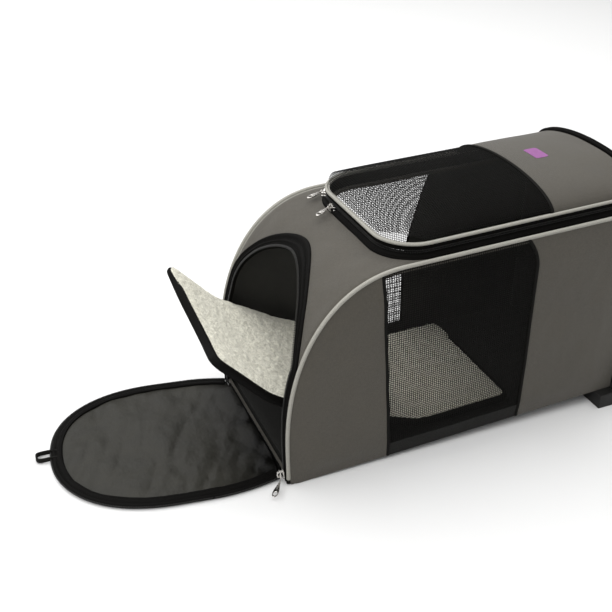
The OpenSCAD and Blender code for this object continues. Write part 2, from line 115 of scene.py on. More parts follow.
def build(name, verts, faces, body, materials, place=bag, which=None, uvs=None,
          crisp=50, replaces=()):
    """A mesh piece from millimetre points. which is each face's material."""
    mesh = bpy.data.meshes.new(name)
    mesh.from_pydata([place(v) for v in verts], [], faces)
    for m in materials:
        mesh.materials.append(m)
    if which is not None:
        mesh.polygons.foreach_set("material_index", which)
    if uvs is not None:
        layer = mesh.uv_layers.new(name="cut")
        flat = np.array([uvs[i] for f in faces for i in f], dtype=np.float32)
        layer.data.foreach_set("uv", (flat / 1000).ravel())
    mesh.polygons.foreach_set("use_smooth", [True] * len(mesh.polygons))
    mesh.validate()
    work = bmesh.new()
    work.from_mesh(mesh)
    bmesh.ops.recalc_face_normals(work, faces=work.faces)
    work.to_mesh(mesh)
    work.free()
    mesh.set_sharp_from_angle(angle=math.radians(crisp))
    obj = bpy.data.objects.new(name + "_made" if name in CAD_NAMES else name, mesh)
    bpy.context.scene.collection.objects.link(obj)
    if body:
        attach(obj, body)
    if replaces:
        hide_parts(*replaces)
    return obj


def join_parts(parts):
    """Several (verts, faces, uvs, which) made one, with the indexes moved on."""
    verts, faces, uvs, which = [], [], [], []
    for v, f, u, w in parts:
        n = len(verts)
        verts += v
        faces += [tuple(i + n for i in q) for q in f]
        uvs += u
        which += w
    return verts, faces, uvs, which


def resample(points, step, closed=False):
    """Evenly spaced points along a 2-D line."""
    pts = [np.array(p, float) for p in points]
    if closed:
        pts = pts + [pts[0]]
    run = [0.0]
    for a, b in zip(pts, pts[1:]):
        run.append(run[-1] + float(np.linalg.norm(b - a)))
    n = max(1, round(run[-1] / step))
    want = np.linspace(0, run[-1], n + 1)
    out = np.stack([np.interp(want, run, [p[k] for p in pts])
                    for k in range(len(pts[0]))], 1)
    return out[:-1] if closed else out


def inside(poly, pts):
    """Which of the points lie in the closed 2-D outline."""
    x, y = pts[:, 0], pts[:, 1]
    hit = np.zeros(len(pts), bool)
    a = np.asarray(poly)
    b = np.roll(a, -1, 0)
    for (x1, y1), (x2, y2) in zip(a, b):
        if y1 == y2:
            continue
        cross = ((y1 > y) != (y2 > y)) & (x < (x2 - x1) * (y - y1) / (y2 - y1) + x1)
        hit ^= cross
    return hit


def edge_gap(lines, pts):
    """Each point's distance to the nearest of the lines' corners."""
    allp = np.concatenate([np.asarray(l) for l in lines])
    out = np.empty(len(pts))
    for i in range(0, len(pts), 500):
        d = pts[i:i + 500, None, :] - allp[None]
        out[i:i + 500] = np.sqrt((d * d).sum(2)).min(1)
    return out


def cut_cloth(outlines, lines, step, keep):
    """Triangles over 2-D outlines (first is outer, the rest are holes), with
    inner lines as edges. keep(points) says which triangles stay."""
    lo, hi = outlines[0].min(0), outlines[0].max(0)
    gx = np.arange(lo[0] + step / 2, hi[0], step)
    gy = np.arange(lo[1] + step / 2, hi[1], step)
    grid = np.stack(np.meshgrid(gx, gy, indexing="ij"), -1).reshape(-1, 2)
    ok = inside(outlines[0], grid)
    for hole in outlines[1:]:
        ok &= ~inside(hole, grid)
    grid = grid[ok]
    grid = grid[edge_gap(outlines + lines, grid) > 0.55 * step]
    pts, edges = [], []
    for o in outlines:
        n = len(pts)
        pts += [tuple(p) for p in o]
        edges += [(n + i, n + (i + 1) % len(o)) for i in range(len(o))]
    for l in lines:
        n = len(pts)
        pts += [tuple(p) for p in l]
        edges += [(n + i, n + i + 1) for i in range(len(l) - 1)]
    pts += [tuple(p) for p in grid]
    v, _, f, *_ = delaunay_2d_cdt([Vector(p) for p in pts], edges, [], 0, 1e-4)
    v = np.array([tuple(p) for p in v])
    f = np.array([tuple(t) for t in f])
    mid = v[f].mean(1)
    good = inside(outlines[0], mid)
    for hole in outlines[1:]:
        good &= ~inside(hole, mid)
    if keep is not None:
        good &= keep(mid)
    f = f[good]
    used = np.unique(f)
    back = np.full(len(v), -1)
    back[used] = np.arange(len(used))
    v, f = v[used], back[f]
    a, b, c = v[f[:, 0]], v[f[:, 1]], v[f[:, 2]]
    turn = (b[:, 0] - a[:, 0]) * (c[:, 1] - a[:, 1]) - (b[:, 1] - a[:, 1]) * (c[:, 0] - a[:, 0])
    f[turn < 0] = f[turn < 0][:, ::-1]
    return v, f[np.abs(turn) > 1e-6]


def thick_sheet(flat, tris, surface, thick):
    """A closed shell: the flat cloth on surface(u, v, h) and its back face."""
    n = len(flat)
    verts = [surface(u, v, 0) for u, v in flat] + [surface(u, v, -thick) for u, v in flat]
    top = [tuple(int(i) for i in t) for t in tris]
    under = [tuple(i + n for i in t[::-1]) for t in top]
    seen = {}
    for t in top:
        for k in range(3):
            seen[(t[k], t[(k + 1) % 3])] = 1
    rim = [(b, a, a + n, b + n) for a, b in seen if (b, a) not in seen]
    which = [0] * len(top) + [1] * len(under) + [0] * len(rim)
    uvs = [tuple(p) for p in flat] * 2
    return verts, top + under + rim, uvs, which


def path_ways(path, closed):
    """Direction of travel at each point of a path."""
    p = np.asarray(path, float)
    if closed:
        t = np.roll(p, -1, 0) - np.roll(p, 1, 0)
    else:
        t = np.gradient(p, axis=0)
    return t / np.maximum(np.linalg.norm(t, axis=1), 1e-9)[:, None]


def loft(rows, closed=False):
    """Points and faces of a tube through rows of points, capped if it is open."""
    n, m = len(rows), len(rows[0])
    faces = [(i * m + k, (i + 1) % n * m + k, (i + 1) % n * m + (k + 1) % m,
              i * m + (k + 1) % m)
             for i in range(n if closed else n - 1) for k in range(m)]
    if not closed:
        faces += [tuple(range(m))[::-1], tuple((n - 1) * m + k for k in range(m))]
    return [tuple(p) for row in rows for p in row], faces


def run_along(p):
    """Distance from the start at each point of a line."""
    return np.concatenate([[0], np.cumsum(np.linalg.norm(np.diff(p, axis=0), axis=1))])


def sweep(path, ups, section, closed=False):
    """Carries a section of (across, up) points along a 3-D path."""
    p = np.asarray(path, float)
    t = path_ways(p, closed)
    up = np.asarray(ups, float)
    if up.ndim == 1:
        up = np.tile(up, (len(p), 1))
    side = np.cross(t, up)
    side /= np.linalg.norm(side, axis=1)[:, None]
    up = np.cross(side, t)
    around = [0.0]
    for a, b in zip(section, section[1:]):
        around.append(around[-1] + math.dist(a, b))
    rows = [[p[i] + side[i] * a + up[i] * h for a, h in section] for i in range(len(p))]
    verts, faces = loft(rows, closed)
    return verts, faces, [(r, d) for r in run_along(p) for d in around], [0] * len(faces)


def ring(radius, n):
    """A round section, listed so that swept faces point outwards."""
    return [(radius * math.cos(2 * math.pi * k / n), radius * math.sin(2 * math.pi * k / n))
            for k in range(n)]


def bar(w, h, r=0.5, low=0.0):
    """A flat band's section, with bevelled corners."""
    a = w / 2
    return [(a, low + r), (a, low + h - r), (a - r, low + h), (r - a, low + h),
            (-a, low + h - r), (-a, low + r), (r - a, low), (a - r, low)]


# ---- the bag's surfaces -----------------------------------------------------
def shoulder_line(o=0.0, n=64):
    """Side view of the seam, from the floor up and over to the base end."""
    pts = [(o, 0.0)]
    for i in range(n + 1):
        t = math.pi / 2 * i / n
        pts.append((SHOULDER - (SHOULDER - o) * math.cos(t) ** (2 / SHOULDER_POWER),
                    SHOULDER_START + (HEIGHT - SHOULDER_START - o)
                    * math.sin(t) ** (2 / SHOULDER_POWER)))
    pts[-1] = (SHOULDER, HEIGHT - o)
    return pts + [(LENGTH, HEIGHT - o)]


SEAM = resample(shoulder_line(), 1.0)
SEAM_RUN = run_along(SEAM)
SEAM_END = float(SEAM_RUN[-1])
_way = path_ways(SEAM, False)
for _ in range(6):
    _way[1:-1] = (_way[:-2] + 2 * _way[1:-1] + _way[2:]) / 4
_way /= np.linalg.norm(_way, axis=1)[:, None]
SEAM_OUT = np.stack([-_way[:, 1], _way[:, 0]], 1)


def seam_at(s):
    x = np.interp(s, SEAM_RUN, SEAM[:, 0])
    z = np.interp(s, SEAM_RUN, SEAM[:, 1])
    nx = np.interp(s, SEAM_RUN, SEAM_OUT[:, 0])
    nz = np.interp(s, SEAM_RUN, SEAM_OUT[:, 1])
    k = math.hypot(nx, nz)
    return float(x), float(z), float(nx / k), float(nz / k)


def run_at_z(z):
    """Distance along the seam at a height on the door end."""
    return float(np.interp(z, SEAM[:, 1], SEAM_RUN)) if z < HEIGHT - 0.01 else run_at_x(SHOULDER)


def run_at_x(x):
    """Distance along the seam over a place on the top."""
    top = SEAM[:, 1] > SHOULDER_START + 60
    return float(np.interp(x, SEAM[top, 0], SEAM_RUN[top]))


def band_height(s, y):
    """How far the band's cloth stands off the CAD surface."""
    edge = HALF - 1 - abs(y)
    r = 7.0
    dip = 0.0 if edge > r else -(r - math.sqrt(max(0.0, r * r - (r - edge) ** 2))) * 0.45
    soft = 1.1 * rough_at(s, y, 0, 52, 2.3) + 0.55 * rough_at(s, y, 9, 21, 5.1)
    hold = smooth(edge, 2, 26)
    # The cloth is pulled flat where the zippers are sewn to it.
    return dip + soft * hold * smooth(s, 4, 30)


def band(s, y, h):
    x, z, nx, nz = seam_at(s)
    k = h + band_height(s, y)
    return (x + nx * k, y, z + nz * k)


def side_bulge(x, z):
    """The side panels swell a little between their seams."""
    top = np.interp(x, SEAM[:, 0], SEAM[:, 1]) if x < SHOULDER else HEIGHT
    a = smooth(top - z, 0, 34) * smooth(z, -2, 26)
    b = smooth(x, 0, 40) * smooth(LENGTH - x, 0, 40)
    soft = 0.9 * rough_at(x, z, 3, 46, 7.7) + 0.4 * rough_at(x * 1.8, z * 0.6, 4, 18, 1.2)
    return (3.0 + soft) * a * b


def side_face(sign):
    def place(x, z, h):
        return (x, sign * (HALF + side_bulge(x, z) + h), z)
    return place


def dome_height(x, y):
    """Height of the top flap over its base."""
    rx = 1.0 if x >= LID_FRONT + LID_RAMP else max(0.0, (x - LID_FRONT) / LID_RAMP)
    ry = max(0.0, 1 - abs(y) / LID_HALF)
    a = math.sqrt(max(0.0, 1 - (1 - rx) ** 2))
    b = math.sqrt(max(0.0, 1 - (1 - ry) ** 2))
    if a <= 0 or b <= 0:
        return 0.0
    return LID_RISE * (a ** -4 + b ** -4 - 1) ** -0.25


def dome(x, y, h):
    """A point of the flap. The side of the dome leans out as it falls."""
    z = dome_height(x, y)
    e = 0.8
    gx = (dome_height(min(x + e, LID_REAR), y) - dome_height(x - e, y)) / (2 * e)
    gy = (dome_height(x, y + e) - dome_height(x, y - e)) / (2 * e)
    k = math.sqrt(1 + gx * gx + gy * gy)
    return (x - gx / k * h, y - gy / k * h, LID_BASE + z + h / k)


# ---- finishes ---------------------------------------------------------------
class Finish:
    """One material and short ways to add nodes to it."""

    def __init__(self, name, colour, rough=0.6, metal=0.0, specular=0.5, sheen=0.0,
                 coat=0.0, by="UV"):
        self.m = bpy.data.materials.new(name)
        self.m.use_nodes = True
        self.m.diffuse_color = (*colour, 1)
        self.t = self.m.node_tree
        self.b = self.t.nodes["Principled BSDF"]
        self.b.inputs["Base Color"].default_value = (*colour, 1)
        self.b.inputs["Roughness"].default_value = rough
        self.b.inputs["Metallic"].default_value = metal
        self.b.inputs["Specular IOR Level"].default_value = specular
        self.b.inputs["Sheen Weight"].default_value = sheen
        self.b.inputs["Coat Weight"].default_value = coat
        self.colour = colour
        self.place = self.t.nodes.new("ShaderNodeTexCoord").outputs[by]
        self.high = None

    def node(self, kind, **sockets):
        n = self.t.nodes.new(kind)
        for k, v in sockets.items():
            if k in ("operation", "blend_type", "data_type", "bands_direction",
                     "wave_type", "feature", "noise_type", "distance"):
                setattr(n, k, v)
            else:
                self.put(n.inputs[k.replace("_", " ")], v)
        return n

    def put(self, socket, v):
        if isinstance(v, bpy.types.NodeSocket):
            self.t.links.new(v, socket)
        else:
            socket.default_value = v

    def noise(self, scale, detail=3.0, rough=0.55, stretch=(1, 1, 1)):
        go = self.t.nodes.new("ShaderNodeMapping")
        self.t.links.new(self.place, go.inputs["Vector"])
        go.inputs["Scale"].default_value = stretch
        n = self.t.nodes.new("ShaderNodeTexNoise")
        self.t.links.new(go.outputs[0], n.inputs["Vector"])
        n.inputs["Scale"].default_value = scale
        n.inputs["Detail"].default_value = detail
        n.inputs["Roughness"].default_value = rough
        return n.outputs["Fac"]

    def wave(self, scale, way, bend=0.0):
        n = self.t.nodes.new("ShaderNodeTexWave")
        self.t.links.new(self.place, n.inputs["Vector"])
        n.bands_direction = way
        n.inputs["Scale"].default_value = scale
        n.inputs["Distortion"].default_value = bend
        n.inputs["Detail"].default_value = 1.0
        return n.outputs["Fac"]

    def math(self, op, a, b=0.0):
        n = self.t.nodes.new("ShaderNodeMath")
        n.operation = op
        self.put(n.inputs[0], a)
        self.put(n.inputs[1], b)
        return n.outputs[0]

    def spread(self, x, a, b, c, d):
        n = self.t.nodes.new("ShaderNodeMapRange")
        for k, v in zip(("Value", "From Min", "From Max", "To Min", "To Max"),
                        (x, a, b, c, d)):
            self.put(n.inputs[k], v)
        return n.outputs["Result"]

    def tint(self, x, *stops):
        """Base colour from a ramp: stops are (position, brightness)."""
        r = self.t.nodes.new("ShaderNodeValToRGB")
        self.put(r.inputs[0], x)
        e = r.color_ramp.elements
        while len(e) < len(stops):
            e.new(0.5)
        for k, (at, f) in enumerate(stops):
            e[k].position = at
            c = self.colour if isinstance(f, (int, float)) else f
            g = f if isinstance(f, (int, float)) else 1
            e[k].color = (c[0] * g, c[1] * g, c[2] * g, 1)
        self.t.links.new(r.outputs[0], self.b.inputs["Base Color"])
        return r.outputs[0]

    def dull(self, x, lo, hi):
        self.t.links.new(self.spread(x, 0.3, 0.7, lo, hi), self.b.inputs["Roughness"])

    def bump(self, x, deep, strength=1.0):
        n = self.t.nodes.new("ShaderNodeBump")
        n.inputs["Distance"].default_value = deep
        n.inputs["Strength"].default_value = strength
        self.put(n.inputs["Height"], x)
        if self.high is not None:
            self.t.links.new(self.high, n.inputs["Normal"])
        self.high = n.outputs[0]
        self.t.links.new(self.high, self.b.inputs["Normal"])


def woven(name, colour, threads=0.7, rough=0.8, sheen=0.15, melange=0.25, deep=0.00012,
          specular=0.35):
    """Plain-woven cloth: warp and weft about threads millimetres apart."""
    f = Finish(name, colour, rough, sheen=sheen, specular=specular)
    f.b.inputs["Sheen Roughness"].default_value = 0.5
    k = 314 / threads
    warp, weft = f.wave(k, "X", 0.6), f.wave(k, "Y", 0.6)
    yarn = f.noise(900, 2, 0.6, (1, 0.22, 1))
    cross = f.noise(900, 2, 0.6, (0.22, 1, 1))
    fleck = f.math("MULTIPLY", f.math("ADD", yarn, cross), 0.5)
    broad = f.noise(22, 3, 0.6)
    mixed = f.math("ADD", f.math("MULTIPLY", fleck, 0.75), f.math("MULTIPLY", broad, 0.25))
    f.tint(mixed, (0.32, 1 - melange), (0.5, 1.0), (0.68, 1 + melange))
    f.dull(broad, rough - 0.06, rough + 0.06)
    f.bump(f.math("MULTIPLY", warp, weft), deep)
    f.bump(fleck, deep * 1.5, 0.7)
    return f.m


def coated(name, colour, rough, specular, creases=0.0003):
    """Smooth coated lining cloth, softly shiny, with small creases."""
    f = Finish(name, colour, rough, specular=specular)
    broad = f.noise(30, 4, 0.6)
    fine = f.noise(1400, 2, 0.5)
    f.tint(broad, (0.3, 0.82), (0.5, 1.0), (0.7, 1.2))
    f.dull(broad, rough - 0.07, rough + 0.09)
    f.bump(f.noise(60, 3, 0.55, (1, 0.6, 1)), creases)
    f.bump(f.math("MULTIPLY", f.wave(520, "X"), f.wave(520, "Y")), 0.00004)
    f.bump(fine, 0.00004)
    return f.m


def ribbon_cloth(name, colour, rough=0.62, ribs=1.0, sheen=0.0, specular=0.06):
    """Black tape or binding with fine ribs across it."""
    f = Finish(name, colour, rough, sheen=sheen, specular=specular)
    rib = f.wave(314 / ribs, "X", 0.4)
    grain = f.noise(1100, 2, 0.6)
    f.tint(f.math("ADD", f.math("MULTIPLY", rib, 0.3), f.math("MULTIPLY", grain, 0.7)),
           (0.25, 0.7), (0.5, 1.0), (0.8, 1.55))
    f.dull(grain, rough - 0.08, rough + 0.1)
    f.bump(rib, 0.00012)
    f.bump(grain, 0.0001)
    return f.m


def moulded(name, colour, rough, grain=0.00008, specular=0.5):
    """Moulded plastic with a fine spark grain."""
    f = Finish(name, colour, rough, specular=specular, by="Object")
    fine, broad = f.noise(1500, 2, 0.5), f.noise(60, 4, 0.6)
    f.tint(broad, (0.3, 0.85), (0.5, 1.0), (0.7, 1.2))
    f.dull(broad, rough - 0.08, rough + 0.1)
    f.bump(fine, grain)
    return f.m


def metal(name, colour, rough):
    f = Finish(name, colour, rough, metal=1.0, by="Object")
    cloud, scratch = f.noise(320, 4, 0.65), f.noise(900, 2, 0.6, (1, 6, 1))
    f.tint(cloud, (0.3, 0.72), (0.5, 1.0), (0.75, 1.1))
    f.dull(cloud, rough - 0.08, rough + 0.14)
    f.bump(scratch, 0.00003)
    f.bump(cloud, 0.00008)
    return f.m


GREY = (0.0545, 0.0485, 0.0375)
BLACK = (0.0020, 0.0018, 0.0015)
grey_cloth = woven("grey_cloth", GREY)
band_cloth = woven("band_cloth", (0.0490, 0.0437, 0.0340))
window_net = woven("window_net", (0.0050, 0.0048, 0.0042), threads=0.4, rough=0.6,
                   sheen=0.0, specular=0.08)
net_strip = woven("net_strip", (0.0085, 0.0082, 0.0073), threads=0.8, rough=0.7,
                  sheen=0.03, specular=0.12)
black_tape = ribbon_cloth("black_tape", BLACK)
black_edge = ribbon_cloth("black_edge", (0.0050, 0.0048, 0.0042), ribs=0.8)
inner_lining = coated("inner_lining", (0.0200, 0.0194, 0.0170), 0.45, 0.4, creases=0.0008)


def door_lining():
    """Coated lining of the door flap, with painted shade that darkens it towards the hinge, in
    the gathers there.
    """
    f = Finish("flap_lining", (0.0200, 0.0193, 0.0160), 0.36, specular=0.12)
    away = f.t.nodes.new("ShaderNodeSeparateXYZ")
    f.t.links.new(f.place, away.inputs[0])
    smoke = f.noise(24, 5, 0.62, (1, 1.5, 1))
    # Painted shade: the colour is ramped darker towards the hinge, where the lining gathers in
    # folds; the smoke noise adds random tone on top.
    painted_hinge_shade_and_tone = f.math("ADD", f.spread(away.outputs[0], 0.0, 0.05, 0.04, 0.5),
                  f.math("MULTIPLY", smoke, 0.5))
    f.tint(painted_hinge_shade_and_tone, (0.28, 0.1), (0.5, 0.75), (0.7, 1.05), (0.86, 1.5))
    f.dull(smoke, 0.28, 0.5)
    f.bump(f.noise(34, 3, 0.5, (1, 0.5, 1)), 0.0022)
    f.bump(f.noise(95, 3, 0.55), 0.0007)
    f.bump(f.math("MULTIPLY", f.wave(520, "X"), f.wave(520, "Y")), 0.00004)
    return f.m


flap_lining = door_lining()
light_piping = ribbon_cloth("light_piping", (0.27, 0.262, 0.232), 0.5, ribs=0.7,
                            specular=0.3)
back_cloth = woven("back_cloth", (0.011, 0.0107, 0.0097), threads=1.0, sheen=0.05,
                   specular=0.15)
board_cloth = woven("board_cloth", (0.0105, 0.0102, 0.0092), threads=0.9, sheen=0.05,
                    specular=0.15)
web_cloth = ribbon_cloth("web_cloth", (0.0075, 0.0072, 0.0066), ribs=1.4)
coil_plastic = moulded("coil_plastic", (0.010, 0.0098, 0.009), 0.4, specular=0.35)
housing_plastic = moulded("housing_plastic", (0.0085, 0.0083, 0.0078), 0.5,
                          specular=0.25)
hub_plastic = moulded("hub_plastic", (0.05, 0.05, 0.048), 0.45)
tyre_rubber = moulded("tyre_rubber", (0.011, 0.011, 0.0105), 0.75, 0.0002, 0.3)
axle_steel = metal("axle_steel", (0.55, 0.55, 0.54), 0.3)
zip_metal = metal("zip_metal", (0.62, 0.60, 0.57), 0.22)
badge_print = woven("badge_print", (0.20, 0.055, 0.20), threads=0.7, melange=0.15)


def fleece_finish():
    """Off-white sherpa pile: soft clumps, with painted shade making it a little darker deep down
    and painted highlights making the clump tops lighter.
    """
    f = Finish("fleece", (0.585, 0.565, 0.465), 0.95, sheen=0.3, specular=0.1, by="Object")
    f.b.inputs["Sheen Roughness"].default_value = 0.6
    clump, curl, fine = f.noise(230, 3, 0.6), f.noise(560, 3, 0.6), f.noise(1500, 2, 0.6)
    mixed = f.math("ADD", f.math("MULTIPLY", clump, 0.35), f.math("ADD",
        f.math("MULTIPLY", curl, 0.45), f.math("MULTIPLY", fine, 0.2)))
    # Painted shade and highlight: the colour follows the bump noises, darker in the pile's
    # hollows and lighter on the clump tops.
    f.tint(mixed, (0.36, (0.34, 0.33, 0.26)), (0.5, (0.585, 0.565, 0.465)),
           (0.62, (0.74, 0.72, 0.61)))
    f.bump(clump, 0.0016)
    f.bump(curl, 0.0014)
    f.bump(fine, 0.0004)
    return f.m


fleece = fleece_finish()


def strip(surface, line, section, flip=1):
    """A section of (across, height) carried along a line on a surface."""
    p = np.asarray(line, float)
    t = path_ways(p, False)
    side = np.stack([t[:, 1], -t[:, 0]], 1) * flip
    rows = [[surface(*(p[i] + side[i] * a), h) for a, h in section] for i in range(len(p))]
    verts, faces = loft(rows)
    uvs = [(r, a + h) for r in run_along(p) for a, h in section]
    return verts, faces, uvs, [0] * len(faces)


def net(surface, xs, ys, alive, strand=MESH_STRAND, thick=0.45):
    """Woven mesh of real strands: alive(points) says where it is."""
    grid = np.stack(np.meshgrid(xs, ys, indexing="ij"), -1)
    on = alive(grid.reshape(-1, 2)).reshape(grid.shape[:2])
    w, verts, faces, uvs = strand / 2, [], [], []
    first = {}
    corners = ((-w, -w), (w, -w), (w, w), (-w, w))
    for i, j in zip(*np.nonzero(on)):
        x, y = grid[i, j]
        first[(i, j)] = len(verts)
        wave = 0.16 if (i + j) % 2 else -0.16
        for h in (thick / 2 + wave, -thick / 2 + wave):
            for a, b in corners:
                verts.append(surface(x + a, y + b, h))
                uvs.append((x + a, y + b))
    for (i, j), n in first.items():
        faces.append((n, n + 1, n + 2, n + 3))
        faces.append((n + 7, n + 6, n + 5, n + 4))
        for key, mine, its in (((i + 1, j), (1, 2), (0, 3)), ((i, j + 1), (2, 3), (1, 0))):
            o = first.get(key)
            a, b = n + mine[0], n + mine[1]
            if o is None:
                faces.append((a, a + 4, b + 4, b))
                continue
            c, d = o + its[0], o + its[1]
            faces.append((a, c, d, b))
            faces.append((b + 4, d + 4, c + 4, a + 4))
            faces.append((c, a, a + 4, c + 4))
            faces.append((b, d, d + 4, b + 4))
        if (i - 1, j) not in first:
            faces.append((n + 3, n + 7, n + 4, n))
        if (i, j - 1) not in first:
            faces.append((n, n + 4, n + 5, n + 1))
    return verts, faces, uvs, [0] * len(faces)


def repeats(name, unit, spots, body, material, place=bag, size=1.0):
    """Copies of a small shape at each spot, made by a node tree and then kept
    as a plain mesh. A spot is (point, forward, up) in millimetres."""
    uv, uf, _, _ = unit
    small = bpy.data.meshes.new(name + "_unit")
    small.from_pydata([(x / 1000, y / 1000, z / 1000) for x, y, z in uv], [], uf)
    unit_obj = bpy.data.objects.new(name + "_unit", small)
    holder = bpy.data.meshes.new(name)
    zero = Vector(place((0, 0, 0)))
    pts, turns = [], []
    for p, ahead, up in spots:
        x = (Vector(place(tuple(ahead))) - zero).normalized()
        z = (Vector(place(tuple(up))) - zero).normalized()
        y = z.cross(x).normalized()
        z = x.cross(y)
        turn = Matrix((x, y, z)).transposed().to_euler()
        pts.append(place(tuple(p)))
        turns += [turn.x, turn.y, turn.z]
    holder.from_pydata(pts, [], [])
    holder.attributes.new("turn", "FLOAT_VECTOR", "POINT").data.foreach_set("vector", turns)
    obj = bpy.data.objects.new(name, holder)
    bpy.context.scene.collection.objects.link(obj)
    tree = bpy.data.node_groups.new(name + "_row", "GeometryNodeTree")
    face = tree.interface
    face.new_socket("Geometry", in_out="INPUT", socket_type="NodeSocketGeometry")
    face.new_socket("Shape", in_out="INPUT", socket_type="NodeSocketObject")
    face.new_socket("Size", in_out="INPUT", socket_type="NodeSocketFloat")
    face.new_socket("Finish", in_out="INPUT", socket_type="NodeSocketMaterial")
    face.new_socket("Geometry", in_out="OUTPUT", socket_type="NodeSocketGeometry")
    n = {k: tree.nodes.new(v) for k, v in dict(
        start="NodeGroupInput", end="NodeGroupOutput", shape="GeometryNodeObjectInfo",
        put="GeometryNodeInstanceOnPoints", turn="GeometryNodeInputNamedAttribute",
        real="GeometryNodeRealizeInstances", paint="GeometryNodeSetMaterial").items()}
    n["turn"].data_type = "FLOAT_VECTOR"
    n["turn"].inputs["Name"].default_value = "turn"
    wire = tree.links.new
    wire(n["start"].outputs["Geometry"], n["put"].inputs["Points"])
    wire(n["start"].outputs["Shape"], n["shape"].inputs["Object"])
    wire(n["shape"].outputs["Geometry"], n["put"].inputs["Instance"])
    wire(n["turn"].outputs["Attribute"], n["put"].inputs["Rotation"])
    wire(n["start"].outputs["Size"], n["put"].inputs["Scale"])
    wire(n["put"].outputs["Instances"], n["real"].inputs["Geometry"])
    wire(n["real"].outputs["Geometry"], n["paint"].inputs["Geometry"])
    wire(n["start"].outputs["Finish"], n["paint"].inputs["Material"])
    wire(n["paint"].outputs["Geometry"], n["end"].inputs["Geometry"])
    row = obj.modifiers.new("row", "NODES")
    row.node_group = tree
    for item in face.items_tree:
        if item.in_out == "INPUT" and item.name == "Shape":
            row[item.identifier] = unit_obj
        if item.in_out == "INPUT" and item.name == "Size":
            row[item.identifier] = size
        if item.in_out == "INPUT" and item.name == "Finish":
            row[item.identifier] = material
    seen = obj.evaluated_get(bpy.context.evaluated_depsgraph_get())
    mesh = bpy.data.meshes.new_from_object(seen)
    obj.modifiers.clear()
    obj.data = mesh
    bpy.data.objects.remove(unit_obj)
    if not mesh.materials:
        mesh.materials.append(material)
    if mesh.uv_layers.active is None:
        mesh.uv_layers.new(name="cut")
    mesh.polygons.foreach_set("use_smooth", [True] * len(mesh.polygons))
    mesh.set_sharp_from_angle(angle=math.radians(40))
    if body:
        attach(obj, body)
    return obj


def block(lx, ly, lz, bevel=0.3, low=0.0):
    """A small bevelled bar along X, for zipper teeth and stitches."""
    section = bar(ly, lz, bevel, low)
    verts, faces = loft([[(x, y * k, low + (z - low - lz / 2) * k + lz / 2) for y, z in section]
                         for x, k in ((-lx / 2, 0.7), (bevel - lx / 2, 1),
                                      (lx / 2 - bevel, 1), (lx / 2, 0.7))])
    return verts, faces, [(0, 0)] * len(verts), [0] * len(faces)


STITCH = block(2.3, 0.55, 0.45, 0.15)


def spots_on(surface, line, across, high, gap, flip=1, turned=False):
    """Spots every gap millimetres along a line on a surface."""
    p = resample(line, gap)
    t = path_ways(p, False)
    out = []
    for (x, y), (a, b) in zip(p[1:-1], t[1:-1]):
        u, v = x + b * flip * across, y - a * flip * across
        here = np.array(surface(u, v, high))
        ahead = np.array(surface(u + a * 0.5, v + b * 0.5, high)) - here
        up = np.array(surface(u, v, high + 1)) - here
        if turned:
            ahead = np.cross(up, ahead)
        out.append((here, ahead, up))
    return out


# ---- grey band round the door end and the top --------------------------------
def arch_line(half, top, low, n=40):
    """The door arch as (y, height) from the near foot over to the far foot.

    The open mouth is pulled a little to the far side, and its feet spread."""
    def side(sign):
        return [(sign * (half + DOOR_SPREAD * (1 - smooth(z, 10, DOOR_BEND))), z)
                for z in np.linspace(low, DOOR_BEND - 2, 24)]
    pts = side(-1)
    for i in range(2 * n + 1):
        t = math.pi - math.pi / 2 * i / n
        c, s = math.cos(t), abs(math.sin(t))
        y = half * math.copysign(abs(c) ** (1 / 0.9), c) + DOOR_PULLED * s
        pts.append((y, DOOR_BEND + (top - DOOR_BEND) * s ** (1 / 0.9)))
    return pts + side(1)[::-1]


def arch_on_band(half, top, low):
    return resample([(run_at_z(z), y) for y, z in arch_line(half, top, low)], 2.5)


def lid_outline(o, end, n=14):
    """Plan of the top flap set in by o, from the near rear to the far rear."""
    r, c = LID_CORNER - o, LID_FRONT + LID_CORNER
    k = LID_HALF - LID_CORNER
    near = [(c - r * math.sin(a), -k - r * math.cos(a))
            for a in np.linspace(0, math.pi / 2, n)]
    far = [(x, -y) for x, y in near[::-1]]
    return [(end, o - LID_HALF)] + near + far + [(end, LID_HALF - o)]


BAND_EDGE = HALF - 1.0
opening = np.array([(run_at_x(x), y) for x, y in resample(lid_outline(8, LENGTH), 3)])
outer = [(0, -BAND_EDGE), (SEAM_END, -BAND_EDGE)]
far_side = [(SEAM_END, BAND_EDGE), (0, BAND_EDGE)]
outline = np.concatenate([
    resample(outer, 3), opening, resample(far_side, 3),
    resample([(0, BAND_EDGE), (0, -BAND_EDGE)], 3)[1:-1]])
hole = arch_on_band(DOOR_HALF, DOOR_TOP, DOOR_SILL)
hole = np.concatenate([hole, resample([tuple(hole[-1]), tuple(hole[0])], 3)[1:-1]])
flat, tris = cut_cloth([outline, hole], [], 4.0, None)
v, f, u, w = thick_sheet(flat, tris, band, WALL)
build("band", v, f, "bag", [band_cloth, inner_lining], which=w, uvs=u,
      replaces=["body_band"])


# ---- side panels with their windows -----------------------------------------
def near_front_edge(z):
    return 116 - 13 * z / HEIGHT


def near_rear_edge(z):
    return 281.5 - 14 * max(0.0, (z - 198) / (HEIGHT - 198)) ** 2


def far_rear_edge(z):
    return 245 + 27 * max(0.0, (z - 108) / 106) ** 1.3


SILL = 18.0
CORNER = 11.0


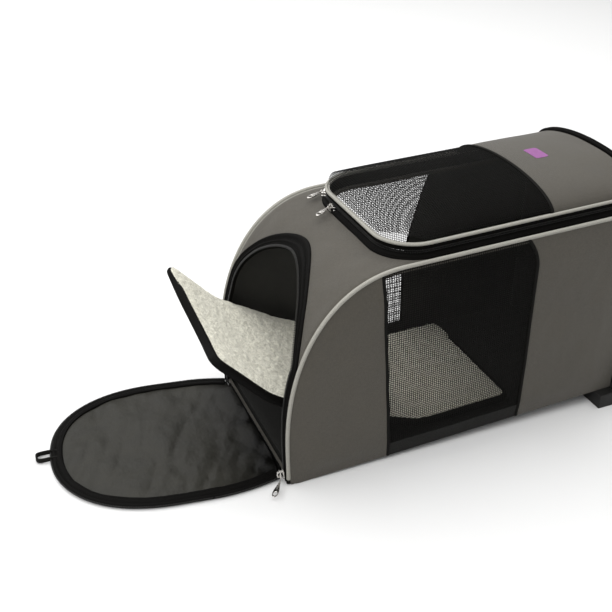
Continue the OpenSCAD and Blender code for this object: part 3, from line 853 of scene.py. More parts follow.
def side_parts(sign, rear_edge):
    """Cuts one side into its front, rear and sill cloth."""
    low_arc = [(CORNER - CORNER * math.sin(a), CORNER - CORNER * math.cos(a))
               for a in np.linspace(0, math.pi / 2, 9)]
    seam = [(x, z) for x, z in SEAM if z > CORNER]
    loop = low_arc + seam + [(LENGTH, 0)]
    loop = resample(loop, 3, closed=True)
    zs = np.linspace(0.3, HEIGHT - 0.5, 78)
    front = np.array([(near_front_edge(z), z) for z in zs])
    front = front[[z < np.interp(x, SEAM[:, 0], SEAM[:, 1]) - 0.4 for x, z in front]]
    rear = np.array([(rear_edge(z), z) for z in zs])
    sill = resample([(near_front_edge(SILL), SILL), (rear_edge(SILL), SILL)], 3)[1:-1]
    face = side_face(sign)
    parts = {}
    for key, keep in (
            ("front", lambda m: m[:, 0] < near_front_edge(m[:, 1])),
            ("rear", lambda m: m[:, 0] > np.array([rear_edge(z) for z in m[:, 1]])),
            ("sill", lambda m: (m[:, 1] < SILL) & (m[:, 0] > near_front_edge(m[:, 1]))
             & (m[:, 0] < rear_edge(0)))):
        flat, tris = cut_cloth([loop], [front, rear, sill], 4.0, keep)
        parts[key] = thick_sheet(flat, tris, face, WALL - 0.5)
    return parts, front, rear


for sign, end, rear_edge in ((-1, "near", near_rear_edge), (1, "far", far_rear_edge)):
    parts, front, rear = side_parts(sign, rear_edge)
    face = side_face(sign)
    for key, node, cloth in (("front", "side_front_", grey_cloth),
                             ("rear", "side_rear_", grey_cloth),
                             ("sill", "window_sill_", net_strip)):
        v, f, u, w = parts[key]
        build("side_" + key + "_" + end, v, f, "bag", [cloth, inner_lining], which=w,
              uvs=u, replaces=[node + end])
    xs = np.arange(100.0, 290.0, MESH_PITCH)
    zs = np.arange(SILL - 1.5, HEIGHT, MESH_PITCH)

    def in_window(p):
        top = np.interp(p[:, 0], SEAM[:, 0], SEAM[:, 1])
        return ((p[:, 0] > near_front_edge(p[:, 1]) - 1.2)
                & (p[:, 0] < np.array([rear_edge(z) for z in p[:, 1]]) + 1.2)
                & (p[:, 1] < top - 0.6))

    v, f, u, w = net(lambda x, z, h: face(x, z, h - 0.8), xs, zs, in_window)
    build("window_" + end, v, f, "bag", [window_net], uvs=u,
          replaces=["window_" + end])
    fold = [(-1.6, -2.2), (1.6, -2.2), (1.7, 0.4), (1.0, 0.9), (-1.0, 0.9), (-1.7, 0.4)]
    edges = join_parts([strip(face, front, fold), strip(face, rear, fold)])
    build("window_edges_" + end, edges[0], edges[1], "bag", [black_edge], uvs=edges[2],
          replaces=["window_binding_" + end])


# ---- piping along the side seams ---------------------------------------------
def seam_line(first, last, y, out):
    """A 3-D line that follows the seam at a distance out from it."""
    pts, ups = [], []
    for s in np.arange(first, last, 3.0):
        x, z, nx, nz = seam_at(s)
        pts.append((x + nx * out, y, z + nz * out))
        ups.append((nx, 0, nz))
    return pts, ups


for sign, end in ((-1, "near"), (1, "far")):
    pts, ups = seam_line(9.0, SEAM_END, sign * (HALF - 0.9), 0.3)
    cord_part = sweep(pts, ups, ring(2.15, 12))
    flange_pts, flange_ups = seam_line(9.0, SEAM_END, sign * (HALF - 2.6), -1.3)
    flange = sweep(flange_pts, flange_ups, bar(3.4, 1.6, 0.4, -0.4))
    v, f, u, w = join_parts([cord_part, flange])
    build("piping_" + end, v, f, "bag", [light_piping], uvs=u,
          replaces=["piping_" + end])


# ---- back panel, boards and base end ------------------------------------------
def slab(x1, x2, y1, y2, z1, z2, r=1.6, step=9.0, crown=0.0):
    """A padded slab with rounded edges, its broad faces a little uneven."""
    xs = np.concatenate([[0, 0.3 * r, r], np.arange(r + step, x2 - x1 - r, step),
                         [x2 - x1 - r, x2 - x1 - 0.3 * r, x2 - x1]]) + x1
    ys = np.concatenate([[0, 0.3 * r, r], np.arange(r + step, y2 - y1 - r, step),
                         [y2 - y1 - r, y2 - y1 - 0.3 * r, y2 - y1]]) + y1
    nx, ny, half = len(xs), len(ys), (z2 - z1) / 2
    verts, faces, uvs = [], [], []
    for way in (1, -1):
        for x in xs:
            for y in ys:
                e = min(x - x1, x2 - x, y - y1, y2 - y)
                k = 0.35 if e <= 0 else (0.75 if e < 0.9 * r else 1.0)
                soft = crown * rough_at(x, y, way * 9, 40, 3.3) * smooth(e, 0, 15)
                verts.append((x, y, (z1 + z2) / 2 + way * half * k + soft))
                uvs.append((x, y))
    for w in (0, 1):
        for i in range(nx - 1):
            for j in range(ny - 1):
                a = w * nx * ny + i * ny + j
                q = (a, a + ny, a + ny + 1, a + 1)
                faces.append(q if w == 0 else q[::-1])
    rim = ([(i, 0) for i in range(nx)] + [(nx - 1, j) for j in range(1, ny)]
           + [(i, ny - 1) for i in range(nx - 2, -1, -1)]
           + [(0, j) for j in range(ny - 2, 0, -1)])
    ids = [i * ny + j for i, j in rim]
    for a, b in zip(ids, ids[1:] + ids[:1]):
        faces.append((b, a, a + nx * ny, b + nx * ny))
    return verts, faces, uvs, [0] * len(faces)


v, f, u, w = slab(WALL + 0.6, LENGTH - WALL, -HALF + 3.4, HALF - 3.4, 0.15, 4.0, crown=0.25)
build("back_panel", v, f, "bag", [back_cloth], uvs=u, replaces=["back_panel"])
v, f, u, w = slab(WALL + 5, LENGTH - 7.5, -HALF + 8, HALF - 8, 4.1, 7.4, r=1.2, crown=0.15)
build("floor_board", v, f, "bag", [board_cloth], uvs=u, replaces=["floor_board"])
v, f, u, w = slab(5, HEIGHT - 9, -HALF + 8, HALF - 8, 0, 3.3, r=1.2, crown=0.15)
v = [(LENGTH - WALL - 0.2 - z, y, x) for x, y, z in v]
build("base_board", v, f, "bag", [board_cloth], uvs=u, replaces=["base_board"])


def base_line(o, low, n=40):
    """Outline of the base end from the near foot over the dome."""
    pts = [(-HALF - o, low), (-HALF - o, HEIGHT - 5), (-HALF + 4 - o, HEIGHT + 0.3 + o),
           (-LID_HALF - 2 - o, HEIGHT + 3.5 + o), (-LID_HALF - o, LID_BASE + 1)]
    for i in range(1, 2 * n):
        t = math.pi - math.pi * i / (2 * n)
        pts.append(((LID_HALF + o) * math.cos(t), LID_BASE + (LID_RISE + o) * math.sin(t)))
    return pts + [(-y, z) for y, z in pts[:5][::-1]]


def base_face(y, z, h):
    """The base end swells slightly between its edges."""
    a = smooth(HALF - abs(y), 0, 50) * smooth(z, 0, 45) * smooth(HEIGHT + 12 - z, 0, 60)
    return (LENGTH + (2.6 + 0.8 * rough_at(y, z, 5, 45, 4.4)) * a + h, y, z)


loop = base_line(-1.0, 0.6)
loop = np.concatenate([resample(loop, 3), resample([loop[-1], loop[0]], 3)[1:-1]])
flat, tris = cut_cloth([loop], [], 4.5, None)
v, f, u, w = thick_sheet(flat, tris, base_face, WALL - 0.4)
build("base_panel", v, f, "bag", [grey_cloth, inner_lining], which=w, uvs=u,
      replaces=["base_panel"])

rim_pts = resample(base_line(0.6, 33.0), 2.5)
for _ in range(3):
    rim_pts[1:-1] = (rim_pts[:-2] + 2 * rim_pts[1:-1] + rim_pts[2:]) / 4
ways = path_ways(rim_pts, False)
outs = np.stack([-ways[:, 1], ways[:, 0]], 1)
ridge = [(-3.4, -3.0), (3.4, -3.0), (3.6, 0.4), (3.2, 2.0), (2.2, 2.6), (1.2, 2.1), (0.6, 1.0),
         (-0.6, 1.0), (-1.2, 2.1), (-2.2, 2.6), (-3.2, 2.0), (-3.6, 0.4)]
v, f, u, w = sweep([(LENGTH + 3.2, y, z) for y, z in rim_pts],
                   [(0, a, b) for a, b in outs], ridge)
build("base_rim", v, f, "bag", [black_tape], uvs=u, replaces=["base_rim"])


# ---- zipper tape round the door ------------------------------------------------
def band_arch(y, z, h):
    return band(run_at_z(z), y, h)


def arch_strip(section, low=1.0, step=3.0):
    """Carries a section of (distance out from the hole, height) round the arch."""
    line = resample(arch_line(DOOR_HALF, DOOR_TOP, low), step)
    t = path_ways(line, False)
    out = np.stack([-t[:, 1], t[:, 0]], 1)
    rows = []
    for p, o in zip(line, out):
        spots = [(p + o * a, h) for a, h in section]
        rows.append([band_arch(q[0], min(q[1], HEIGHT - 1), h) for q, h in spots])
    verts, faces = loft(rows)
    uvs = [(i * step, a + h) for i in range(len(line)) for a, h in section]
    return verts, faces, uvs, [0] * len(faces)


TAPE = [(-0.6, -2.6), (11.0, -0.6), (11.5, 0.4), (11.3, 1.7), (10.4, 2.5), (9.2, 2.5),
        (8.3, 1.6), (7.6, 1.0), (5.9, 1.0), (5.5, 1.7), (4.9, 1.9), (4.3, 1.7), (3.9, 1.0),
        (2.0, 1.0), (0.4, 0.9), (-0.6, 0.2)]
v, f, u, w = arch_strip(TAPE)
build("door_tape", v, f, "bag", [black_tape], uvs=u, replaces=["door_zip"])


def arch_spots(across, high, gap, turned):
    line = resample(arch_line(DOOR_HALF, DOOR_TOP, 3.0), gap)
    t = path_ways(line, False)
    spots = []
    for p, (a, b) in zip(line[1:-1], t[1:-1]):
        q = p + np.array([-b, a]) * across
        here = np.array(band_arch(q[0], min(q[1], HEIGHT - 1), high))
        more = q + np.array([a, b]) * 0.6
        ahead = np.array(band_arch(more[0], min(more[1], HEIGHT - 1), high)) - here
        up = np.array(band_arch(q[0], min(q[1], HEIGHT - 1), high + 1)) - here
        spots.append((here, np.cross(up, ahead) if turned else ahead, up))
    return spots


repeats("door_teeth", block(2.9, 1.0, 1.3, 0.3), arch_spots(0.4, 0.7, 1.6, True), "bag",
        coil_plastic)
repeats("door_tape_stitches", STITCH, arch_spots(7.0, 0.9, 3.4, False), "bag",
        black_edge)

# The sill tape, with the lip that the door flap is sewn to.
lip_end = -5.6
sill = [(-0.4, 0.6), (lip_end, 0.6), (lip_end, 2.3), (-3.4, 2.6), (-2.7, 3.4), (-2.6, 7.0),
        (-1.9, 8.2), (-0.6, 8.4), (-0.2, 7.6)]
ys = np.linspace(-DOOR_HALF + 6, DOOR_HALF - 6, 60)
pts = [(0, y, 0) for y in ys]
v, f, u, w = sweep(pts, (0, 0, 1), sill)
build("door_sill", v, f, "bag", [black_tape], uvs=u, replaces=["door_sill_tape"])


# ---- top flap: zipper walls, piping, mesh, cloth and badge ----------------------
def wall_frames(end, step=2.5):
    """Plan line of the flap, with the outward way at each point."""
    line = resample(lid_outline(0, end), step)
    t = path_ways(line, False)
    return line, np.stack([t[:, 1], -t[:, 0]], 1) * -1


def wall_ring(section, end):
    """Carries a section of (distance outwards, height) round the flap."""
    line, out = wall_frames(end)
    verts, faces = loft([[(*(p + o * a), z) for a, z in section] for p, o in zip(line, out)])
    uvs = [(i * 2.5, z + a) for i in range(len(line)) for a, z in section]
    return verts, faces, uvs, [0] * len(faces)


lower_wall = [(-3.0, 231.0), (5.6, 231.0), (5.8, 232.6), (5.0, 234.0), (2.6, 234.2),
              (1.6, 235.0), (0.9, 236.4), (0.2, 238.6), (-0.8, 239.0), (-2.2, 238.6),
              (-3.0, 236.0)]
v, f, u, w = wall_ring(lower_wall, LENGTH - 2)
build("flap_wall_lower", v, f, "bag", [black_tape], uvs=u, replaces=["lid_zip_lower"])
upper_wall = [(-3.0, 240.0), (-0.6, 239.8), (0.3, 240.4), (0.8, 242.0), (0.5, 243.4),
              (0.9, 244.2), (0.6, 245.2), (-1.0, 245.6), (-3.0, 245.2)]
v, f, u, w = wall_ring(upper_wall, LID_REAR)
build("flap_wall_upper", v, f, "top_flap", [black_tape], uvs=u,
      replaces=["lid_zip_upper"])


def wall_spots(out_by, z, gap, end, turned):
    line = resample(lid_outline(0, end), gap)
    t = path_ways(line, False)
    spots = []
    for p, (a, b) in zip(line[1:-1], t[1:-1]):
        o = np.array([-b, a])
        q = p + o * out_by
        ahead = (a, b, 0) if not turned else (o[0], o[1], 0)
        spots.append(((q[0], q[1], z), ahead, (0, 0, 1)))
    return spots


repeats("flap_teeth_lower", block(2.6, 1.0, 1.1, 0.25), wall_spots(0.4, 237.9, 1.6,
        LENGTH - 4, True), "bag", coil_plastic)
repeats("flap_teeth_upper", block(2.6, 1.0, 1.1, 0.25), wall_spots(0.4, 240.1, 1.6,
        LID_REAR - 2, True), "top_flap", coil_plastic)

line, out = wall_frames(LID_REAR)
pts = [(p[0] + o[0] * 0.9, p[1] + o[1] * 0.9, LID_BASE + 1.2) for p, o in zip(line, out)]
v, f, u, w = sweep(pts, [(0, 0, 1)] * len(pts), ring(1.85, 12))
flange = wall_ring([(-3.0, LID_BASE - 0.2), (0.6, LID_BASE - 0.5), (0.8, LID_BASE + 0.8),
                    (-2.4, LID_BASE + 1.8)], LID_REAR)
v, f, u, w = join_parts([(v, f, u, w), flange])
build("flap_piping", v, f, "top_flap", [light_piping], uvs=u, replaces=["lid_piping"])


turns = np.linspace(-math.pi / 2, math.pi / 2, 400)
across = np.stack([LID_HALF * np.sin(turns), LID_RISE * np.cos(turns)], 1)
ACROSS = run_along(across)
ACROSS -= ACROSS[-1] / 2
turns = np.linspace(0, math.pi / 2, 200)
along = np.stack([LID_FRONT + LID_RAMP * (1 - np.cos(turns)), LID_RISE * np.sin(turns)], 1)
ALONG = run_along(along)
RAMP_RUN = float(ALONG[-1])


def flap_xy(u, v):
    x = np.interp(u, ALONG, along[:, 0]) if u < RAMP_RUN else LID_FRONT + LID_RAMP + u - RAMP_RUN
    return float(x), float(np.interp(v, ACROSS, across[:, 0]))


def flap_cloth(u, v, h):
    x, y = flap_xy(u, v)
    return dome(x, y, h)


def run_of(x):
    if x >= LID_FRONT + LID_RAMP:
        return RAMP_RUN + x - LID_FRONT - LID_RAMP
    return float(np.interp(x, along[:, 0], ALONG))


def across_of(y):
    return float(np.interp(y, across[:, 0], ACROSS))


plan = np.array(lid_outline(0.8, LENGTH + 30, n=24))


def in_flap_net(p):
    xy = np.array([flap_xy(a, b) for a, b in p])
    return inside(plan, xy) & (xy[:, 0] < LID_SPLIT + 0.5)


us = np.arange(0.6, run_of(LID_SPLIT) + 1, MESH_PITCH)
vs = np.arange(-ACROSS[-1] + 0.4, ACROSS[-1], MESH_PITCH)
v, f, u, w = net(lambda a, b, h: flap_cloth(a, b, h - 0.8), us, vs, in_flap_net)
build("flap_mesh", v, f, "top_flap", [window_net], uvs=u, replaces=["lid_mesh"])

start, stop = run_of(LID_SPLIT), run_of(LENGTH - 1.5)
edge = ACROSS[-1] - 0.8
rect = resample([(start, -edge), (stop, -edge), (stop, edge), (start, edge)], 3, closed=True)
flat, tris = cut_cloth([rect], [], 4.0, None)


def flap_grey(u, v, h):
    soft = 0.8 * rough_at(u, v, 2, 48, 6.1) * smooth(edge - abs(v), 0, 25)
    return flap_cloth(u, v, h + soft * smooth(u, start, start + 25))


v, f, u, w = thick_sheet(flat, tris, flap_grey, WALL - 0.5)
lid_cloth = build("flap_cloth", v, f, None, [band_cloth, inner_lining], which=w, uvs=u,
                  replaces=["lid_fabric", "lid_root_fabric"])
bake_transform(lid_cloth)

divide = [(run_of(LID_SPLIT), b) for b in np.arange(-edge, edge + 1, 3.0)]
v, f, u, w = strip(flap_cloth, divide, [(-1.7, -2.0), (1.7, -2.0), (1.8, 0.5), (1.0, 1.1),
                                        (-1.0, 1.1), (-1.8, 0.5)])
build("flap_divider", v, f, "top_flap", [black_edge], uvs=u, replaces=["lid_divider"])


def badge():
    """A plain round-cornered patch printed on the cloth."""
    half_x, half_y, corner = 8.25, 13.0, 2.5
    rim = []
    for sx, sy, start in ((1, 1, 0), (-1, 1, 90), (-1, -1, 180), (1, -1, 270)):
        for a in np.radians(np.linspace(start, start + 90, 7)):
            rim.append((run_of(344) + sx * (half_x - corner) + corner * math.cos(a),
                        across_of(0) + sy * (half_y - corner) + corner * math.sin(a)))
    flat, tris = cut_cloth([resample(rim, 1.5, closed=True)], [], 2.5, None)
    return thick_sheet(flat, tris, lambda a, b, h: flap_grey(a, b, h + 0.35), 0.4)


v, f, u, w = badge()
build("flap_badge", v, f, "top_flap", [badge_print], uvs=u, replaces=["lid_mark"])


# ---- door flap, laid open on the floor ------------------------------------------
FLAP_TURN = math.radians(7.8)
HINGE_X = -4.6
FLAP_JOIN = 62.0


def flap_half(u):
    """Half width of the flap at a distance from its hinge."""
    gather = 0.15 * (max(0.0, 62 - u) / 79) ** 1.9
    q = max(0.0, (u - 95) / (FLAP_LENGTH - 95))
    return FLAP_HALF * (1 - gather) * max(0.0, 1 - q ** 2.25) ** (1 / 2.25)


def flap_height(u, v):
    """Soft folds of the lining. It climbs to the sill and puckers at the hinge."""
    e = smooth(flap_half(min(u, FLAP_LENGTH - 0.5)) - abs(v), 4, 26)
    away = u * math.cos(FLAP_TURN) - v * math.sin(FLAP_TURN)
    long_folds = noise.noise(Vector(((u + 0.34 * v) / 27, v / 95, 1.7)))
    cross_folds = noise.noise(Vector(((u - 0.55 * v) / 42, v / 60, 6.4)))
    small = noise.noise(Vector((u / 15, v / 17, 3.3)))
    folds = 4.2 * abs(long_folds) + 3.0 * cross_folds + 0.9 * small
    folds *= 0.4 + 0.6 * smooth(away, 5, 45)
    near_hinge = 1 - smooth(away, 4, 52)
    fan = math.atan2(v + 96, u + 34)
    pucker = 2.2 * near_hinge * abs(math.sin(7.5 * fan + 0.8 * math.sin(v / 21)))
    climb = 4.6 * (1 - smooth(away, 0, 24)) * smooth(88 - abs(v), 4, 20)
    return 3.2 + e * (1.0 + folds + pucker) + climb


def flap_place(u, v, h):
    return (HINGE_X - u * math.cos(FLAP_TURN) + v * math.sin(FLAP_TURN),
            u * math.sin(FLAP_TURN) + v * math.cos(FLAP_TURN),
            flap_height(u, v) + h)


def flap_edge(inset, first, n=90):
    """One side of the flap's outline, from the hinge to the tip, set in."""
    us = [first + (FLAP_LENGTH - first) * math.sin(math.pi / 2 * i / n) for i in range(n + 1)]
    line = resample([(u, -flap_half(u)) for u in us], 2.0)
    t = path_ways(line, False)
    return line + np.stack([-t[:, 1], t[:, 0]], 1) * inset


def whole_edge(inset, near_first, far_first):
    near, far = flap_edge(inset, near_first), flap_edge(inset, far_first)
    near, far = near[near[:, 1] < -0.4], far[far[:, 1] < -0.4]
    tip = np.array([[FLAP_LENGTH - inset, 0.0]])
    return np.concatenate([near, tip, far[::-1] * [1, -1]])


RIM = [(-6.0, -2.7), (5.2, -2.7), (6.0, -1.4), (6.1, 0.6), (5.4, 1.9), (3.2, 2.5), (1.6, 2.0),
       (0.8, 1.5), (0.0, 2.0), (-1.6, 2.7), (-4.2, 2.7), (-5.8, 1.7), (-6.3, 0.0)]
crease_from, crease_to = floor(flap_place(104, 0, 0)), floor(flap_place(146, 0, 0))
hinge_from, hinge_to = floor(flap_place(-3, 0, 0)), floor(flap_place(20, 0, 0))


def flap_blend(obj, part):
    if part == "lower":
        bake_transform(obj)
        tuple(hinge_from)
        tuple(hinge_to)
    else:
        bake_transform(obj)
        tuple(crease_from)
        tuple(crease_to)


edge = whole_edge(5.0, -13.0, 9.5)
for part, keep_part in (("lower", lambda p: p[:, 0] <= FLAP_JOIN + 1e-4),
                        ("upper", lambda p: p[:, 0] >= FLAP_JOIN - 1e-4)):
    line = edge[keep_part(edge)]
    if part == "lower":
        near, far = line[line[:, 1] < 0], line[line[:, 1] > 0]
        join = np.array([(FLAP_JOIN, y) for y in np.linspace(-98.0, 98.0, 60)])
        loop = np.concatenate([near, join, far,
                               resample([tuple(far[-1]), tuple(near[0])], 3)[1:-1]])
    else:
        join = np.array([(FLAP_JOIN, y) for y in np.linspace(98.0, -98.0, 60)])
        loop = np.concatenate([line, join])
    flat, tris = cut_cloth([loop], [], 3.2, None)
    v, f, u, w = thick_sheet(flat, tris, flap_place, 2.0)
    obj = build("door_lining_" + part, v, f, None, [flap_lining, band_cloth], which=w, uvs=u,
                place=floor, replaces=["door_" + part])
    flap_blend(obj, part)

centre = whole_edge(6.2, -11.0, 11.0)
near_low = centre[(centre[:, 0] <= FLAP_JOIN + 1) & (centre[:, 1] < 0)]
far_low = centre[(centre[:, 0] <= FLAP_JOIN + 1) & (centre[:, 1] > 0)]
tip = centre[centre[:, 0] >= FLAP_JOIN - 1]
pieces = join_parts([strip(flap_place, near_low, RIM), strip(flap_place, far_low, RIM)])
obj = build("door_rim_lower", pieces[0], pieces[1], None, [black_tape], uvs=pieces[2],
            place=floor, replaces=["door_rim_lower"])
flap_blend(obj, "lower")
v, f, u, w = strip(flap_place, tip, RIM)
obj = build("door_rim_upper", v, f, None, [black_tape], uvs=u, place=floor,
            replaces=["door_rim_upper"])
flap_blend(obj, "upper")
for part, line in (("lower", near_low), ("upper", tip)):
    spots = spots_on(flap_place, line, 6.2, 0.0, 1.6, turned=True)
    if part == "lower":
        spots += spots_on(flap_place, far_low, 6.2, 0.0, 1.6, turned=True)
    obj = repeats("door_rim_teeth_" + part, block(2.4, 1.0, 1.2, 0.3), spots, None,
                  coil_plastic, place=floor)
    flap_blend(obj, part)
    spots = spots_on(flap_place, line, -2.9, 2.6, 3.6)
    obj = repeats("door_rim_stitches_" + part, STITCH, spots, None, black_edge,
                  place=floor)
    flap_blend(obj, part)

loop_line = [(213, -4.5, 2.6), (222, -5.0, 2.9), (229, -5.2, 2.2), (233.4, -4.6, 2.0),
             (234.8, -2.2, 2.6), (235.0, 1.0, 3.6), (234.8, 4.4, 2.6), (233.2, 6.6, 2.0),
             (229, 7.2, 2.2), (222, 6.9, 2.9), (213, 6.2, 2.6)]
pts = resample(loop_line, 1.2)
for _ in range(3):
    pts[1:-1] = (pts[:-2] + 2 * pts[1:-1] + pts[2:]) / 4
world_pts = [(HINGE_X - u * math.cos(FLAP_TURN) + v * math.sin(FLAP_TURN),
              u * math.sin(FLAP_TURN) + v * math.cos(FLAP_TURN), h + 1.0) for u, v, h in pts]
v, f, u, w = sweep(world_pts, (0, 0, 1), bar(2.0, 5.4, 0.5, -2.2))
obj = build("door_pull_loop", v, f, "door_upper", [web_cloth], uvs=u, place=floor,
            replaces=["door_loop"])


# ---- fleece pad --------------------------------------------------------------------
PAD_HALF = 86.0
PAD_LENGTHS = (120.0, 114.5, 83.5, 78.0)
PAD_SLOPES = (0.0, 23.5, 33.0, 48.0)
PAD_Z, PAD_REAR = 12.9, 285.0
pad_line, pad_marks, here, done = [], [], np.array([PAD_REAR, PAD_Z]), 0.0
for length, slope in zip(PAD_LENGTHS, PAD_SLOPES):
    go = np.array([-math.cos(math.radians(slope)), math.sin(math.radians(slope))])
    pad_line += [here + go * d for d in np.arange(0, length, 1.0)]
    here = here + go * length
    done += length
    pad_marks.append((done, tuple(here)))
pad_line.append(here)
pad_line = resample(pad_line, 1.0)
PAD_LONG = done
for _ in range(160):
    pad_line[1:-1] = (pad_line[:-2] + 2 * pad_line[1:-1] + pad_line[2:]) / 4
pad_way = path_ways(pad_line, False)
PAD_RUN = np.linspace(0, PAD_LONG, len(pad_line))


def pad_place(l, y, h):
    """A point of the pad: l runs from its rear edge to its lifted end."""
    x, z = np.interp(l, PAD_RUN, pad_line[:, 0]), np.interp(l, PAD_RUN, pad_line[:, 1])
    tx, tz = np.interp(l, PAD_RUN, pad_way[:, 0]), np.interp(l, PAD_RUN, pad_way[:, 1])
    # The held end is pulled on, and the far edge rides up along the side.
    k = y / PAD_HALF
    z += 22.0 * smooth(l, 60, 230) * max(0.0, (1 + k) / 2) ** 1.4
    pull = smooth(l, 290, PAD_LONG) * max(0.0, -k) + 0.35 * smooth(l, 350, PAD_LONG) \
        * math.sin(y / 21)
    x, z = x - 2.5 * pull, z + 3.5 * pull
    sag = 0.4 + 0.8 * rough_at(l, y, 8, 60, 1.9) * smooth(l, 40, 160)
    n = (tz, -tx) if tz * 0 - tx > 0 else (-tz, tx)
    return (float(x + n[0] * (h + sag)), float(y), float(z + n[1] * (h + sag)))


def pad_outline(inset, corner=13.0):
    """Round-cornered outline of the pad, listed from the rear near corner."""
    r, a, b = corner - inset, PAD_LONG - inset, PAD_HALF - inset
    pts = []
    for cx, cy, t in ((inset + r, -b + r, 180), (a - r, -b + r, 270), (a - r, b - r, 0),
                      (inset + r, b - r, 90)):
        for i in range(9):
            g = math.radians(t + 90 * i / 8)
            pts.append((cx + r * math.cos(g), cy + r * math.sin(g)))
    return resample(pts, 2.5, closed=True)


pad_rim = pad_outline(0.0)


def pad_gap(l, y):
    """Distance in from the pad's edge, near enough."""
    return min(l, PAD_LONG - l, PAD_HALF - abs(y))


def pad_top(l, y, h):
    e = pad_gap(l, y)
    pile = 1.1 * rough_at(l, y, 3, 5.5, 2.2) + 0.8 * rough_at(l, y, 6, 3.1, 8.8)
    puff = 3.1 + 2.0 * smooth(e, 0.0, 15.0)
    if h < 0:
        return pad_place(l, y, -3.9 + 0.6 * rough_at(l, y, 1, 30, 5.5))
    return pad_place(l, y, puff + pile * (0.5 + 0.5 * smooth(e, 0, 9)))


BINDING = [(-4.8, -4.2), (-0.6, -4.3), (0.8, -3.2), (1.3, -0.4), (1.0, 2.4), (-0.4, 3.9),
           (-2.2, 4.5), (-4.4, 4.3), (-4.8, 3.2)]


def bound_place(l, y, h):
    """The pile stands over the binding along the far edge."""
    return pad_place(l, y, h * (1 - 0.72 * smooth(y, 30, 78)) if h > 0 else h)


CUTS = (177.0, 276.5)


def near_cut(l):
    for c in CUTS:
        if abs(l - c) < 1.3:
            return c
    return l


ranges = ((-5.0, CUTS[0]), CUTS, (CUTS[1], PAD_LONG + 5))
blends = (("pad_0", "pad_1", 120.0), ("pad_1", "pad_2", 234.5), ("pad_2", "pad_3", 318.0))
covers = (["pad_0", "pad_1"], ["pad_2"], ["pad_3"])
trims = (["pad_binding_0", "pad_binding_1"], ["pad_binding_2"], ["pad_binding_3"])
inner = pad_outline(1.2)
for k, ((low, high), (one, two, crease)) in enumerate(zip(ranges, blends)):
    ends = (bag(pad_place(crease - 16, 0, 0)), bag(pad_place(crease + 16, 0, 0)))
    part = [p for p in inner if low <= p[0] <= high]
    loop = []
    for p in inner:
        if low < p[0] < high:
            loop.append(tuple(p))
    loop = np.array(loop)
    span = np.linspace(-PAD_HALF + 1.2, PAD_HALF - 1.2, 70)
    if k == 0:
        turn = int(np.argmax(np.abs(np.diff(loop[:, 1])) > 20)) + 1
        loop = np.concatenate([loop[:turn], [(high, y) for y in span], loop[turn:]])
    elif k == 2:
        gap = int(np.argmax(np.hypot(*(np.roll(loop, -1, 0) - loop).T) > 20)) + 1
        loop = np.concatenate([loop[:gap], [(low, y) for y in span[::-1]], loop[gap:]])
    else:
        near = loop[loop[:, 1] < 0]
        far = loop[loop[:, 1] > 0]
        loop = np.concatenate([near, [(high, y) for y in span], far,
                               [(low, y) for y in span[::-1]]])
    flat, tris = cut_cloth([loop], [], 2.4, None)
    n = len(flat)
    verts, faces, uvs, which = thick_sheet(flat, tris, lambda l, y, h: pad_top(l, y, h), 1.0)
    obj = build("pad_fleece_%d" % (k + 1), verts, faces, None, [fleece, black_edge],
                which=which, uvs=uvs, replaces=covers[k], crisp=80)
    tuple(ends[0])
    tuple(ends[1])
    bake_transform(obj)
    lines, run = [], []
    closed_rim = list(map(tuple, pad_rim))
    for side_sign in (-1, 1):
        side = [(near_cut(a), b) for a, b in closed_rim
                if low - 1.3 <= a <= high + 1.3 and b * side_sign > 0]
        side.sort(key=lambda q: math.atan2(q[1], q[0] - PAD_LONG / 2))
        lines.append(side)
    if k == 1:
        parts = []
        for side in lines:
            side.sort()
            parts.append(strip(bound_place, side, BINDING, flip=1 if side[0][1] < 0 else -1))
    else:
        full = [p for p in closed_rim if low - 1.3 <= p[0] <= high + 1.3]
        c = PAD_LONG / 2
        full = sorted(full, key=lambda q: (math.atan2(q[1], q[0] - c)
                                           + (2 * math.pi if k == 0 and q[1] < 0 else 0)))
        full = [(near_cut(a), b) for a, b in full]
        parts = [strip(bound_place, full, BINDING, flip=1)]
    v, f, u, w = join_parts(parts)
    obj = build("pad_edging_%d" % (k + 1), v, f, None, [black_tape], uvs=u,
                replaces=trims[k])
    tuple(ends[0])
    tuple(ends[1])
    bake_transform(obj)


# ---- sliders and pulls ----------------------------------------------------------------
def plate(outline, z1, z2, bevel=0.3, hole=None):
    """A flat part with bevelled edges cut from a 2-D outline."""
    verts, faces = [], []

    def wall(line, sign):
        p = np.asarray(line, float)
        t = path_ways(p, True)
        inward = np.stack([-t[:, 1], t[:, 0]], 1) * sign
        rows = []
        for z, k in ((z1, 1), (z1 + bevel, 0), (z2 - bevel, 0), (z2, 1)):
            rows.append(len(verts))
            verts.extend([(q[0], q[1], z) for q in p + inward * bevel * k])
        n = len(p)
        for a, b in zip(rows, rows[1:]):
            for i in range(n):
                j = (i + 1) % n
                faces.append((a + i, a + j, b + j, b + i))
        return rows, n

    outer_rows, n = wall(outline, 1)
    if hole is None:
        faces.append(tuple(outer_rows[0] + i for i in range(n))[::-1])
        faces.append(tuple(outer_rows[3] + i for i in range(n)))
    else:
        hole_rows, m = wall(hole, -1)
        for k in (0, 3):
            for i in range(n):
                j = (i + 1) % n
                faces.append((outer_rows[k] + i, outer_rows[k] + j,
                              hole_rows[k] + j, hole_rows[k] + i))
    return verts, faces, [(v[0], v[1]) for v in verts], [0] * len(faces)


def moved(part, turn=Matrix(), shift=(0, 0, 0)):
    v, f, u, w = part
    s = Vector(shift)
    return [tuple(turn @ Vector(p) + s) for p in v], f, u, w


def oval(cx, cy, rx, ry, n=28):
    return [(cx + rx * math.cos(2 * math.pi * i / n), cy + ry * math.sin(2 * math.pi * i / n))
            for i in range(n)]


